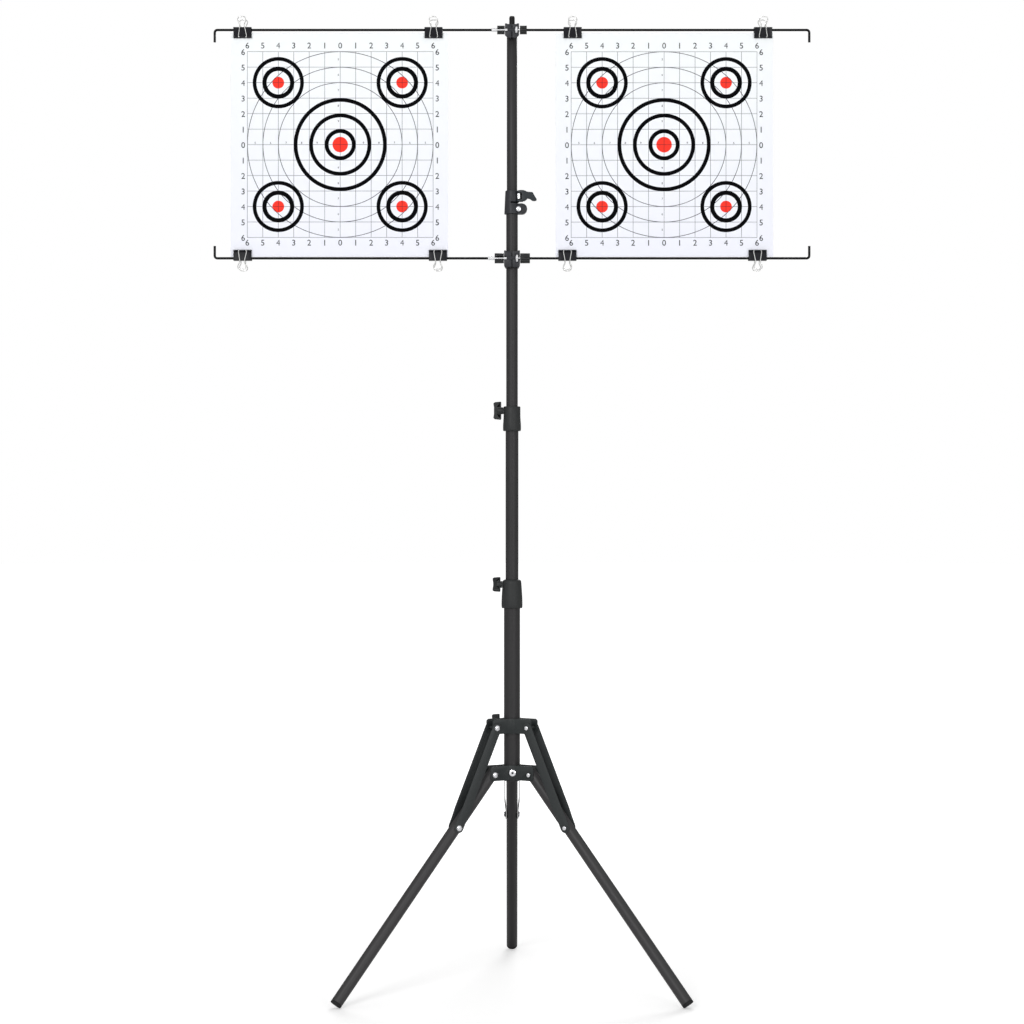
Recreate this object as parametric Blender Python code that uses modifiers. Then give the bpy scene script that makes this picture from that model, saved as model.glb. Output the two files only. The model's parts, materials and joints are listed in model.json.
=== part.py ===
"""Target stand: a telescopic column on a folding tripod that holds two paper targets.

Metres, +Z up. The origin is on the ground, in the middle of the stand's footprint.
Everything hangs on one empty, stand_frame, whose Z axis is the column's axis.
"""

import math

import bmesh
import bpy
from mathutils import Matrix

MM = 0.001

# Clearances
GAP = 0.3 * MM
OVERLAP = 1.0 * MM
BEYOND = 40.0 * MM

# Column: four tubes, the thickest at the bottom
MAIN_R = 13.2 * MM
MAIN_WALL = 1.4 * MM
MIDDLE_R = 10.5 * MM
MIDDLE_WALL = 0.7 * MM
UPPER_R = 9.5 * MM
UPPER_WALL = 0.7 * MM
TOP_R = 8.5 * MM
TOP_WALL = 1.0 * MM
MAIN_LOW = 331.0 * MM
MAIN_HIGH = 645.0 * MM
MIDDLE_INSIDE = 67.0 * MM
MIDDLE_LOW = MAIN_HIGH - MIDDLE_INSIDE
MIDDLE_HIGH = 932.0 * MM
MIDDLE_BUSH = 20.0 * MM
UPPER_INSIDE = 72.0 * MM
UPPER_LOW = MIDDLE_HIGH - UPPER_INSIDE
UPPER_HIGH = 1284.0 * MM
TOP_INSIDE = 94.0 * MM
TOP_LOW = UPPER_HIGH - TOP_INSIDE
TOP_HIGH = 1578.0 * MM
PLUG_DEPTH = 6.0 * MM
STUD_R = 4.25 * MM
STUD_LENGTH = 14.0 * MM

# Collars and their knobs
LOWER_COLLAR_OVER_MAIN = 23.7 * MM
LOWER_COLLAR_LOW = MAIN_HIGH - LOWER_COLLAR_OVER_MAIN
LOWER_COLLAR_HEIGHT = 46.7 * MM
LOWER_COLLAR_SCREW = 38.7 * MM
UPPER_COLLAR_OVER_MIDDLE = 20.3 * MM
UPPER_COLLAR_LOW = MIDDLE_HIGH - UPPER_COLLAR_OVER_MIDDLE
UPPER_COLLAR_HEIGHT = 40.3 * MM
UPPER_COLLAR_SCREW = 33.3 * MM
KNOB_WING_HALF = 14.85 * MM
KNOB_WING_DEPTH = 13.0 * MM
KNOB_WING_THICK = 6.0 * MM
KNOB_NECK_R = 5.7 * MM
KNOB_THREAD_R = 2.7 * MM
LOWER_KNOB_WING = 18.9 * MM
UPPER_KNOB_WING = 17.6 * MM
LOWER_KNOB_TWIST = math.radians(46.0)

# Tripod: a leg turns on the lower hub, a strut joins it to the upper hub
LEG_ANGLE = math.radians(39.25)
LEG_LENGTH = 446.0 * MM
LEG_R = 9.5 * MM
LEG_WALL = 1.2 * MM
LEG_PAST_PIVOT = 8.0 * MM
LEG_PIVOT_OUT = 38.0 * MM
STRUT_PIVOT_OUT = 35.0 * MM
STRUT_BOLT_ON_LEG = 105.5 * MM
STRUT_LENGTH = 172.7 * MM
STRUT_HALF_WIDTH = 8.0 * MM
STRUT_PLATE = 1.2 * MM
STRUT_INSIDE = 11.6 * MM
STRUT_JOGGLE_FROM = 143.0 * MM
STRUT_JOGGLE_TO = 160.0 * MM
EAR_PLATE = 1.5 * MM
EAR_INSIDE = LEG_R + GAP
HUB_BORE = MAIN_R + GAP
HUB_RING_R = 16.0 * MM
HUB_HEIGHT = 24.2 * MM
HUB_PIVOT_UP = 10.1 * MM
EAR_PAST_PIVOT = 7.0 * MM
BOLT_R = 2.3 * MM
BOLT_HEAD_R = 4.5 * MM
BOLT_HEAD_HEIGHT = 2.4 * MM
HUB_SCREW_R = 5.3 * MM
HUB_KNOB_AZIMUTH = math.radians(150.0)
HUB_KNOB_UP = 15.0 * MM
HUB_KNOB_WING = 24.5 * MM
HUB_BOSS_R = 18.0 * MM
CAP_DEPTH = 4.5 * MM
CAP_PLUG = 14.0 * MM
FOOT_FLAT = 1.0 * MM
ARM_AZIMUTHS = {"left": math.radians(210.0), "right": math.radians(330.0), "rear": math.radians(90.0)}

# Rod holders: the rods lie in a plane in front of the column
ROD_Y = -16.0 * MM
ROD_R = 2.0 * MM
ROD_REACH = 485.7 * MM
ROD_HOOK = 20.0 * MM
ROD_BEND = 4.0 * MM
TOP_ROD_DOWN = 11.7 * MM
TOP_ROD_Z = TOP_HIGH - TOP_ROD_DOWN
LOWER_ROD_Z = 1193.3 * MM
SLEEVE_R = 2.9 * MM
CLAMP_FRONT = 19.0 * MM
CLAMP_SLIT = 1.6 * MM

# Lever clamp between the upper and the top tube
LEVER_CLAMP_OVER_UPPER = 20.0 * MM
LEVER_CLAMP_LOW = UPPER_HIGH - LEVER_CLAMP_OVER_UPPER
LEVER_CLAMP_HEIGHT = 41.6 * MM
LEVER_SLOT_UP = 21.7 * MM
LEVER_SLOT_HEIGHT = 2.6 * MM
LEVER_BOLT_UP = 10.8 * MM
LEVER_BOLT_X = 11.8 * MM
LEVER_PIN_UP = 31.4 * MM
LEVER_PIN_X = 11.2 * MM
LEVER_PIN_Y = -10.4 * MM
LEVER_PIN_Z = LEVER_CLAMP_LOW + LEVER_PIN_UP
LEVER_PIN_R = 3.0 * MM
LEVER_PIN_HEIGHT = 10.4 * MM
LEVER_HALF_THICK = 3.7 * MM
LUG_FRONT = 6.2 * MM
LOWER_LUG_FRONT = 7.4 * MM

# Targets: a paper sheet held by binder clips on the two rods
PAPER_BELOW_ROD = 4.9 * MM
PAPER_ABOVE_ROD = 2.3 * MM
PAPER_HIGH = TOP_ROD_Z - PAPER_BELOW_ROD
PAPER_LOW = LOWER_ROD_Z + PAPER_ABOVE_ROD
PAPER_THICK = 0.6 * MM
PAPER_FROM_ROD_END = {"left": 25.9 * MM, "right": 58.9 * MM}
PAPER_FROM_COLUMN = {"left": 104.2 * MM, "right": 71.2 * MM}
CLIP_WIDTH = 29.5 * MM
CLIP_SHEET = 0.8 * MM
CLIP_SPINE_UP = 3.9 * MM
CLIP_SPINE_HALF = 6.5 * MM
CLIP_CORNER_DOWN = 1.2 * MM
CLIP_JAW_DOWN = 13.6 * MM
CLIP_ROLL_R = 1.4 * MM
CLIP_WIRE_R = 0.8 * MM
CLIP_WIRE_HALF = 6.5 * MM
CLIP_WIRE_SLOT = 3.0 * MM
CLIP_HANDLE_LENGTH = 33.5 * MM
CLIP_INSETS = {
    ("left", "top"): (19.8 * MM, 23.8 * MM),
    ("left", "bottom"): (19.8 * MM, 16.8 * MM),
    ("right", "top"): (27.8 * MM, 16.8 * MM),
    ("right", "bottom"): (19.3 * MM, 25.8 * MM),
}

# Where the footprint puts the column: the rear foot reaches further back than the front feet come forward
PIVOT_Z = LEG_LENGTH * math.cos(LEG_ANGLE) + LEG_R * math.sin(LEG_ANGLE) - FOOT_FLAT
FOOT_OUT = LEG_PIVOT_OUT + LEG_LENGTH * math.sin(LEG_ANGLE)
REAR_REACH = FOOT_OUT + LEG_R * math.cos(LEG_ANGLE)
FRONT_REACH = FOOT_OUT / 2 + math.hypot(LEG_R * math.cos(LEG_ANGLE) / 2, LEG_R * math.sqrt(0.75))
COLUMN_Y = (FRONT_REACH - REAR_REACH) / 2

# The strut's lean and the upper pivot's height follow from the leg's angle
STRUT_SPAN_OUT = LEG_PIVOT_OUT - STRUT_PIVOT_OUT + STRUT_BOLT_ON_LEG * math.sin(LEG_ANGLE)
STRUT_ANGLE = math.asin(STRUT_SPAN_OUT / STRUT_LENGTH)
STRUT_PIVOT_Z = PIVOT_Z - STRUT_BOLT_ON_LEG * math.cos(LEG_ANGLE) + STRUT_LENGTH * math.cos(STRUT_ANGLE)
LOWER_HUB_LOW = PIVOT_Z - HUB_PIVOT_UP
UPPER_HUB_LOW = STRUT_PIVOT_Z - HUB_PIVOT_UP

COLOURS = {
    "tube": ((0.050, 0.050, 0.052), 0.45, 0.6),
    "bracket": ((0.045, 0.052, 0.052), 0.5, 0.5),
    "plastic": ((0.022, 0.022, 0.024), 0.5, 0.0),
    "clamp": ((0.035, 0.037, 0.041), 0.5, 0.0),
    "wire": ((0.008, 0.008, 0.009), 0.4, 0.3),
    "silver": ((0.75, 0.75, 0.76), 0.25, 1.0),
    "clip": ((0.012, 0.012, 0.013), 0.3, 0.6),
    "paper": ((0.90, 0.91, 0.95), 0.75, 0.0),
}

PLANES = {
    "XY": Matrix.Identity(4),
    "XZ": Matrix(((1, 0, 0, 0), (0, 0, -1, 0), (0, 1, 0, 0), (0, 0, 0, 1))),
    "YZ": Matrix(((0, 0, 1, 0), (1, 0, 0, 0), (0, 1, 0, 0), (0, 0, 0, 1))),
}
TURN_TO = {
    "X": Matrix.Rotation(math.radians(90), 4, "Y"),
    "Y": Matrix.Rotation(math.radians(90), 4, "X"),
    "Z": Matrix.Identity(4),
}

for old in list(bpy.data.objects):
    bpy.data.objects.remove(old, do_unlink=True)

PARTS = bpy.data.collections.new("target_stand")
CUTTERS = bpy.data.collections.new("target_stand_cutters")
bpy.context.scene.collection.children.link(PARTS)
bpy.context.scene.collection.children.link(CUTTERS)


def make_material(name, colour, roughness, metallic):
    material = bpy.data.materials.new(name)
    material.use_nodes = True
    shader = material.node_tree.nodes["Principled BSDF"]
    shader.inputs["Base Color"].default_value = (*colour, 1.0)
    shader.inputs["Roughness"].default_value = roughness
    shader.inputs["Metallic"].default_value = metallic
    material.diffuse_color = (*colour, 1.0)
    return material


MATERIALS = {name: make_material(name, *values) for name, values in COLOURS.items()}


def empty(name, location, parent=None, rotation=(0.0, 0.0, 0.0)):
    """A frame that pieces are placed in."""
    obj = bpy.data.objects.new(name, None)
    obj.empty_display_size = 20 * MM
    obj.location = location
    obj.rotation_euler = rotation
    obj.parent = parent
    PARTS.objects.link(obj)
    return obj


def place(obj, material, parent, location=(0.0, 0.0, 0.0), rotation=(0.0, 0.0, 0.0)):
    """Makes the object a piece of the stand, at its place under its frame."""
    if not obj.data.materials:
        obj.data.materials.append(MATERIALS[material])
    obj.parent = parent
    obj.location = location
    obj.rotation_euler = rotation
    PARTS.objects.link(obj)
    return obj


def boolean(obj, tool, operation):
    """Cuts, joins or trims the piece with a helper that is drawn as wire and not rendered."""
    if tool.name not in CUTTERS.objects:
        CUTTERS.objects.link(tool)
    tool.hide_render = True
    tool.display_type = "WIRE"
    tool.parent = obj
    modifier = obj.modifiers.new(f"{operation.lower()}_{tool.name}", "BOOLEAN")
    modifier.operation = operation
    modifier.solver = "EXACT"
    modifier.object = tool
    return obj


def cut(obj, tool):
    return boolean(obj, tool, "DIFFERENCE")


def fuse(obj, tool):
    return boolean(obj, tool, "UNION")


def from_bmesh(name, shape):
    data = bpy.data.meshes.new(name)
    shape.to_mesh(data)
    shape.free()
    return bpy.data.objects.new(name, data)


def box(name, size, centre=(0.0, 0.0, 0.0)):
    shape = bmesh.new()
    bmesh.ops.create_cube(shape, size=1.0, matrix=Matrix.LocRotScale(centre, None, size))
    return from_bmesh(name, shape)


def cylinder(name, radius, length, centre=(0.0, 0.0, 0.0), axis="Z", segments=24):
    """A round bar. It is turned by part of a step, so that its edges miss those of what it crosses."""
    part_step = Matrix.Rotation(0.3 * math.pi / segments, 4, "Z")
    shape = bmesh.new()
    bmesh.ops.create_cone(
        shape,
        cap_ends=True,
        segments=segments,
        radius1=radius,
        radius2=radius,
        depth=length,
        matrix=Matrix.Translation(centre) @ TURN_TO[axis] @ part_step,
    )
    return from_bmesh(name, shape)


def turned(name, profile, steps=24, axis="Z"):
    """A profile of (radius, height) points spun about an axis, from the outer top down.

    A profile that starts on the axis also ends there. Any other closes on itself.
    """
    solid = profile[0][0] == 0.0
    turn = TURN_TO[axis]
    points = [turn @ Matrix.Translation((radius, 0.0, height)).to_translation() for radius, height in profile]
    edges = [(index, index + 1) for index in range(len(points) - 1)]
    if not solid:
        edges.append((len(points) - 1, 0))
    data = bpy.data.meshes.new(name)
    data.from_pydata(points, edges, [])
    obj = bpy.data.objects.new(name, data)
    screw = obj.modifiers.new("turn", "SCREW")
    screw.axis = axis
    screw.steps = steps
    screw.render_steps = steps
    screw.use_merge_vertices = True
    screw.merge_threshold = 0.00001
    return obj


def tube_profile(radius, wall, low, high):
    """The wall of a tube, outer side first."""
    inner = radius - wall
    return [(radius, high), (radius, low), (inner, low), (inner, high)]


def meshed(obj):
    """A curve object made a mesh, with its caps welded on."""
    bpy.context.scene.collection.objects.link(obj)
    graph = bpy.context.evaluated_depsgraph_get()
    graph.update()
    data = bpy.data.meshes.new_from_object(obj.evaluated_get(graph))
    shape = bmesh.new()
    shape.from_mesh(data)
    bmesh.ops.remove_doubles(shape, verts=shape.verts, dist=0.000001)
    bmesh.ops.recalc_face_normals(shape, faces=shape.faces)
    shape.to_mesh(data)
    shape.free()
    name = obj.name
    bpy.data.objects.remove(obj, do_unlink=True)
    data.materials.clear()
    return bpy.data.objects.new(name, data)


def plate(name, outlines, thickness, plane="XY", offset=0.0):
    """A flat outline with thickness, centred on its plane and moved off it by offset."""
    curve = bpy.data.curves.new(name, "CURVE")
    curve.dimensions = "2D"
    curve.fill_mode = "BOTH"
    curve.extrude = thickness / 2
    for outline in outlines:
        spline = curve.splines.new("POLY")
        spline.points.add(len(outline) - 1)
        for point, (across, along) in zip(spline.points, outline):
            point.co = (across, along, 0.0, 1.0)
        spline.use_cyclic_u = True
    obj = meshed(bpy.data.objects.new(name, curve))
    obj.data.transform(PLANES[plane] @ Matrix.Translation((0.0, 0.0, offset)))
    return obj


def wire(name, points, radius, resolution=2):
    """A round wire along a list of points."""
    curve = bpy.data.curves.new(name, "CURVE")
    curve.dimensions = "3D"
    curve.bevel_depth = radius
    curve.bevel_resolution = resolution
    curve.use_fill_caps = True
    spline = curve.splines.new("POLY")
    spline.points.add(len(points) - 1)
    for point, place_at in zip(spline.points, points):
        point.co = (*place_at, 1.0)
    return bpy.data.objects.new(name, curve)


def arc(centre, radius, start, end, steps):
    """Points along an arc, in degrees, both ends included."""
    found = []
    for index in range(steps + 1):
        angle = math.radians(start + (end - start) * index / steps)
        found.append((centre[0] + radius * math.cos(angle), centre[1] + radius * math.sin(angle)))
    return found


def mirrored(points):
    """Half an outline with its mirror image. A point on the middle line isn't repeated."""
    return points + [(-across, along) for across, along in reversed(points) if across > 0.0]


stand = empty("stand_frame", (0.0, COLUMN_Y, 0.0))

# Column tubes
main_tube = turned("main_tube", tube_profile(MAIN_R, MAIN_WALL, MAIN_LOW, MAIN_HIGH))
place(main_tube, "tube", stand)

MIDDLE_BUSH_R = MAIN_R - MAIN_WALL - GAP
middle_inner = MIDDLE_R - MIDDLE_WALL
middle_profile = [
    (MIDDLE_R, MIDDLE_HIGH),
    (MIDDLE_R, MIDDLE_LOW + MIDDLE_BUSH),
    (MIDDLE_BUSH_R, MIDDLE_LOW + MIDDLE_BUSH),
    (MIDDLE_BUSH_R, MIDDLE_LOW),
    (middle_inner, MIDDLE_LOW),
    (middle_inner, MIDDLE_HIGH),
]
place(turned("middle_tube", middle_profile), "tube", stand)
place(turned("upper_tube", tube_profile(UPPER_R, UPPER_WALL, UPPER_LOW, UPPER_HIGH)), "tube", stand)

top_inner = TOP_R - TOP_WALL
top_profile = [
    (0.0, TOP_HIGH + STUD_LENGTH),
    (STUD_R - 0.6 * MM, TOP_HIGH + STUD_LENGTH),
    (STUD_R, TOP_HIGH + STUD_LENGTH - 0.6 * MM),
    (STUD_R, TOP_HIGH),
    (TOP_R - 0.5 * MM, TOP_HIGH),
    (TOP_R, TOP_HIGH - 0.5 * MM),
    (TOP_R, TOP_LOW),
    (top_inner, TOP_LOW),
    (top_inner, TOP_HIGH - PLUG_DEPTH),
    (0.0, TOP_HIGH - PLUG_DEPTH),
]
place(turned("top_tube", top_profile), "tube", stand)


def aim(azimuth, twist=0.0):
    """Turns local +Z outwards from the column, then the piece about that axis."""
    outwards = Matrix.Rotation(azimuth, 3, "Z") @ Matrix.Rotation(math.radians(90), 3, "Y")
    return (outwards @ Matrix.Rotation(twist, 3, "Z")).to_euler()


def wing_knob(name, wing_from, neck_from, thread_from):
    """A wing knob with its axis along local Z, heights measured from the column's axis."""
    outline = mirrored(
        [
            (KNOB_WING_HALF - 1.0 * MM, wing_from),
            (KNOB_WING_HALF, wing_from + 1.2 * MM),
            (KNOB_WING_HALF - 0.9 * MM, wing_from + KNOB_WING_DEPTH - 2.4 * MM),
            (KNOB_WING_HALF - 3.0 * MM, wing_from + KNOB_WING_DEPTH),
            (5.5 * MM, wing_from + KNOB_WING_DEPTH - 1.0 * MM),
        ]
    )
    knob = plate(name, [outline], KNOB_WING_THICK, plane="XZ")
    round_edge = knob.modifiers.new("round_edge", "BEVEL")
    round_edge.width = 0.8 * MM
    round_edge.segments = 1
    round_edge.limit_method = "ANGLE"
    round_edge.angle_limit = math.radians(60)
    shank = [
        (0.0, wing_from + 6.0 * MM),
        (KNOB_NECK_R, wing_from + 6.0 * MM),
        (KNOB_NECK_R, neck_from),
        (KNOB_THREAD_R, neck_from),
        (KNOB_THREAD_R, thread_from),
        (0.0, thread_from),
    ]
    return fuse(knob, turned(f"{name}_shank", shank, steps=14))


def screw_hole(name, height, azimuth):
    """A cutter for one wall of a collar or hub, from just past the bore outwards."""
    hole = cylinder(name, KNOB_THREAD_R + GAP, BEYOND, (0.0, 0.0, BEYOND / 2 + 6 * MM), segments=12)
    hole.location = (0.0, 0.0, height)
    hole.rotation_euler = aim(azimuth)
    return hole


# Lower collar: on the main tube, its upper bore runs on the middle tube
lower_bore = MAIN_R + GAP
lower_seat = MIDDLE_R + GAP
lower_step = MAIN_HIGH + GAP - LOWER_COLLAR_LOW
lower_profile = [
    (12.6 * MM, LOWER_COLLAR_HEIGHT),
    (14.4 * MM, LOWER_COLLAR_HEIGHT - 1.0 * MM),
    (15.3 * MM, LOWER_COLLAR_HEIGHT - 4.5 * MM),
    (16.3 * MM, 30.0 * MM),
    (17.3 * MM, 13.0 * MM),
    (17.2 * MM, 2.0 * MM),
    (16.5 * MM, 0.0),
    (lower_bore, 0.0),
    (lower_bore, lower_step),
    (lower_seat, lower_step),
    (lower_seat, LOWER_COLLAR_HEIGHT),
]
lower_collar = turned("lower_collar", lower_profile)
cut(lower_collar, screw_hole("lower_collar_hole", LOWER_COLLAR_SCREW, math.pi))
place(lower_collar, "plastic", stand, (0.0, 0.0, LOWER_COLLAR_LOW))

lower_knob = wing_knob("lower_collar_knob", LOWER_KNOB_WING, 16.4 * MM, MIDDLE_R + GAP)
lower_knob_at = (0.0, 0.0, LOWER_COLLAR_LOW + LOWER_COLLAR_SCREW)
place(lower_knob, "plastic", stand, lower_knob_at, aim(math.pi, LOWER_KNOB_TWIST))

# Upper collar: on the middle tube, its upper bore runs on the upper tube
upper_bore = MIDDLE_R + GAP
upper_seat = UPPER_R + GAP
upper_step = MIDDLE_HIGH + GAP - UPPER_COLLAR_LOW
upper_profile = [
    (12.9 * MM, UPPER_COLLAR_HEIGHT),
    (13.8 * MM, UPPER_COLLAR_HEIGHT - 0.9 * MM),
    (13.8 * MM, 22.0 * MM),
    (14.75 * MM, 10.0 * MM),
    (14.75 * MM, 2.0 * MM),
    (13.9 * MM, 0.0),
    (upper_bore, 0.0),
    (upper_bore, upper_step),
    (upper_seat, upper_step),
    (upper_seat, UPPER_COLLAR_HEIGHT),
]
upper_collar = turned("upper_collar", upper_profile)
cut(upper_collar, screw_hole("upper_collar_hole", UPPER_COLLAR_SCREW, math.pi))
place(upper_collar, "plastic", stand, (0.0, 0.0, UPPER_COLLAR_LOW))

upper_knob = wing_knob("upper_collar_knob", UPPER_KNOB_WING, 14.1 * MM, UPPER_R + GAP)
upper_knob_at = (0.0, 0.0, UPPER_COLLAR_LOW + UPPER_COLLAR_SCREW)
place(upper_knob, "plastic", stand, upper_knob_at, aim(math.pi))


def arm_matrix(azimuth):
    return Matrix.Rotation(azimuth, 4, "Z")


def solid_profile(radius, low, high):
    """A plain disc or bar, from the axis outwards and back."""
    return [(0.0, high), (radius, high), (radius, low), (0.0, low)]


def hub_body(name, reach, hole_out=None):
    """A disc with three forked arms, its local Z at the underside, to be bored for the tube."""
    ring = turned(name, solid_profile(HUB_RING_R, 0.0, HUB_HEIGHT))
    ear_from = 10.0 * MM
    inset = 0.2 * MM
    corner = 3.0 * MM
    outline = [
        (ear_from, inset),
        (reach - corner, inset),
        (reach, inset + corner),
        (reach, HUB_HEIGHT - inset - corner),
        (reach - corner, HUB_HEIGHT - inset),
        (ear_from, HUB_HEIGHT - inset),
    ]
    outlines = [outline]
    if hole_out:
        outlines.append(arc((hole_out, HUB_PIVOT_UP), BOLT_R + GAP, 0, 330, 11))
    for arm, azimuth in ARM_AZIMUTHS.items():
        for side in (-1, 1):
            across = side * (EAR_INSIDE + EAR_PLATE / 2)
            ear = plate(f"{name}_ear_{arm}_{side + 1}", outlines, EAR_PLATE, plane="XZ", offset=across)
            ear.data.transform(arm_matrix(azimuth))
            fuse(ring, ear)
    return ring


def bolt(name, head_from, azimuth, centre):
    """A bolt across an arm, with a head at each end."""
    tip = head_from + BOLT_HEAD_HEIGHT
    profile = [
        (0.0, tip),
        (BOLT_HEAD_R, tip),
        (BOLT_HEAD_R, head_from),
        (BOLT_R, head_from),
        (BOLT_R, -head_from),
        (BOLT_HEAD_R, -head_from),
        (BOLT_HEAD_R, -tip),
        (0.0, -tip),
    ]
    obj = turned(name, profile, steps=12)
    part_step = Matrix.Rotation(math.radians(7.0), 4, "Z")
    obj.rotation_euler = (arm_matrix(azimuth) @ TURN_TO["Y"] @ part_step).to_euler()
    obj.location = arm_matrix(azimuth) @ Matrix.Translation(centre).to_translation()
    return obj


# Lower hub: fixed on the main tube, with the three leg bolts and a screw in front
lower_hub = hub_body("lower_hub", LEG_PIVOT_OUT + EAR_PAST_PIVOT + 1.0 * MM)
ear_outside = EAR_INSIDE + EAR_PLATE
for arm_name, arm_azimuth in ARM_AZIMUTHS.items():
    leg_bolt_at = (LEG_PIVOT_OUT, 0.0, HUB_PIVOT_UP)
    fuse(lower_hub, bolt(f"leg_bolt_{arm_name}", ear_outside - 0.4 * MM, arm_azimuth, leg_bolt_at))
hub_screw = cylinder("hub_screw", HUB_SCREW_R, 4.0 * MM, (0.0, -16.0 * MM, 12.0 * MM), "Y", 14)
fuse(lower_hub, hub_screw)
cut(lower_hub, cylinder("lower_hub_bore", HUB_BORE, BEYOND * 2))
place(lower_hub, "bracket", stand, (0.0, 0.0, LOWER_HUB_LOW))

# Upper hub: slides on the main tube, bored for the strut bolts and its knob
upper_hub = hub_body("upper_hub", STRUT_PIVOT_OUT + EAR_PAST_PIVOT, STRUT_PIVOT_OUT)
boss_length = HUB_BOSS_R - 8.0 * MM
boss = cylinder("upper_hub_boss", 7.5 * MM, boss_length, (0.0, 0.0, HUB_BOSS_R - boss_length / 2))
boss.location = (0.0, 0.0, HUB_HEIGHT / 2)
boss.rotation_euler = aim(HUB_KNOB_AZIMUTH)
fuse(upper_hub, boss)
cut(upper_hub, cylinder("upper_hub_bore", HUB_BORE, BEYOND * 2))
cut(upper_hub, screw_hole("upper_hub_hole", HUB_KNOB_UP, HUB_KNOB_AZIMUTH))
place(upper_hub, "bracket", stand, (0.0, 0.0, UPPER_HUB_LOW))

hub_knob = wing_knob("hub_knob", HUB_KNOB_WING, HUB_BOSS_R + GAP, MAIN_R + GAP)
hub_knob_at = (0.0, 0.0, UPPER_HUB_LOW + HUB_KNOB_UP)
place(hub_knob, "plastic", stand, hub_knob_at, aim(HUB_KNOB_AZIMUTH))


def strut_plate(name, side):
    """One flat bar of a strut, hanging from the upper pivot and stepped in beside the leg."""
    ends = arc((0.0, 0.0), STRUT_HALF_WIDTH, 0, 180, 6)
    ends += arc((0.0, -STRUT_LENGTH), STRUT_HALF_WIDTH, 180, 360, 6)
    middle = STRUT_INSIDE + STRUT_PLATE / 2
    bar = plate(name, [ends], STRUT_PLATE, plane="XZ", offset=-side * middle)
    step_in = STRUT_INSIDE - EAR_INSIDE
    shape = bmesh.new()
    shape.from_mesh(bar.data)
    for height in (-STRUT_JOGGLE_FROM, -STRUT_JOGGLE_TO):
        everything = shape.verts[:] + shape.edges[:] + shape.faces[:]
        bmesh.ops.bisect_plane(shape, geom=everything, plane_co=(0.0, 0.0, height), plane_no=(0.0, 0.0, 1.0))
    for vert in shape.verts:
        if vert.co.z < -STRUT_JOGGLE_TO + 0.1 * MM:
            vert.co.y -= side * step_in
    shape.to_mesh(bar.data)
    shape.free()
    return bar


def strut(name):
    """Two bars on one shank at the upper pivot. Their heads beside the leg leave it free to turn."""
    outside = STRUT_INSIDE + STRUT_PLATE
    near = strut_plate(name, 1)
    fuse(near, strut_plate(f"{name}_far_bar", -1))
    fuse(near, bolt(f"{name}_shank", outside - 0.4 * MM, 0.0, (0.0, 0.0, 0.0)))
    for side in (-1, 1):
        middle = side * (EAR_INSIDE + STRUT_PLATE - 0.4 * MM + BOLT_HEAD_HEIGHT / 2)
        head = cylinder(
            f"{name}_head_{side + 1}",
            BOLT_HEAD_R,
            BOLT_HEAD_HEIGHT,
            (0.0, middle, -STRUT_LENGTH),
            "Y",
            12,
        )
        fuse(near, head)
    return near


def leg(name):
    """A tube hanging from its pivot, drilled for the leg bolt."""
    low = -LEG_LENGTH + CAP_DEPTH + GAP
    body = turned(name, tube_profile(LEG_R, LEG_WALL, low, LEG_PAST_PIVOT), steps=20)
    return cut(body, cylinder(f"{name}_hole", BOLT_R + GAP, BEYOND, axis="Y", segments=12))


def foot_cap(name):
    """A capped plug in the leg's end, cut flat where it meets the ground."""
    plug_r = LEG_R - LEG_WALL - GAP
    profile = [
        (0.0, CAP_DEPTH + CAP_PLUG),
        (plug_r, CAP_DEPTH + CAP_PLUG),
        (plug_r, CAP_DEPTH),
        (LEG_R, CAP_DEPTH),
        (LEG_R, 0.4 * MM),
        (LEG_R - 0.4 * MM, 0.0),
        (0.0, 0.0),
    ]
    cap = turned(name, [(radius, height - LEG_LENGTH) for radius, height in profile], steps=20)
    ground = box(f"{name}_ground", (0.1, 0.1, 0.02))
    rest_turn = Matrix.Rotation(-LEG_ANGLE, 4, "Y").inverted()
    ground.data.transform(rest_turn @ Matrix.Translation((FOOT_OUT - LEG_PIVOT_OUT, 0.0, -PIVOT_Z - 0.01)))
    return cut(cap, ground)


for arm_name, arm_azimuth in ARM_AZIMUTHS.items():
    arm = empty(f"arm_{arm_name}", (0.0, 0.0, 0.0), stand, (0.0, 0.0, arm_azimuth))
    leg_at = (LEG_PIVOT_OUT, 0.0, PIVOT_Z)
    place(leg(f"leg_{arm_name}"), "tube", arm, leg_at, (0.0, -LEG_ANGLE, 0.0))
    place(foot_cap(f"foot_cap_{arm_name}"), "plastic", arm, leg_at, (0.0, -LEG_ANGLE, 0.0))
    strut_at = (STRUT_PIVOT_OUT, 0.0, STRUT_PIVOT_Z)
    place(strut(f"strut_{arm_name}"), "bracket", arm, strut_at, (0.0, -STRUT_ANGLE, 0.0))

# Lever clamp: a split sleeve, its lower band on the upper tube and its upper band round the top tube
slot_low = LEVER_SLOT_UP - LEVER_SLOT_HEIGHT / 2
clamp_profile = [
    (0.0, LEVER_CLAMP_HEIGHT),
    (10.4 * MM, LEVER_CLAMP_HEIGHT),
    (11.0 * MM, LEVER_CLAMP_HEIGHT - 0.8 * MM),
    (11.9 * MM, slot_low + 1.3 * MM),
    (12.6 * MM, 4.0 * MM),
    (12.3 * MM, 1.2 * MM),
    (11.3 * MM, 0.0),
    (0.0, 0.0),
]
lever_clamp = turned("lever_clamp", clamp_profile)
lug_high = 20.4 * MM
lug_low = 3.3 * MM
lug_round = (lug_high - lug_low) / 2
lug_outline = [(8.0 * MM, lug_high)] + arc((16.35 * MM, (lug_high + lug_low) / 2), lug_round, 90, -90, 6)
lug_outline.append((8.0 * MM, lug_low))
fuse(lever_clamp, plate("lever_clamp_lug", [lug_outline], 2 * LOWER_LUG_FRONT, plane="XZ"))
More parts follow.
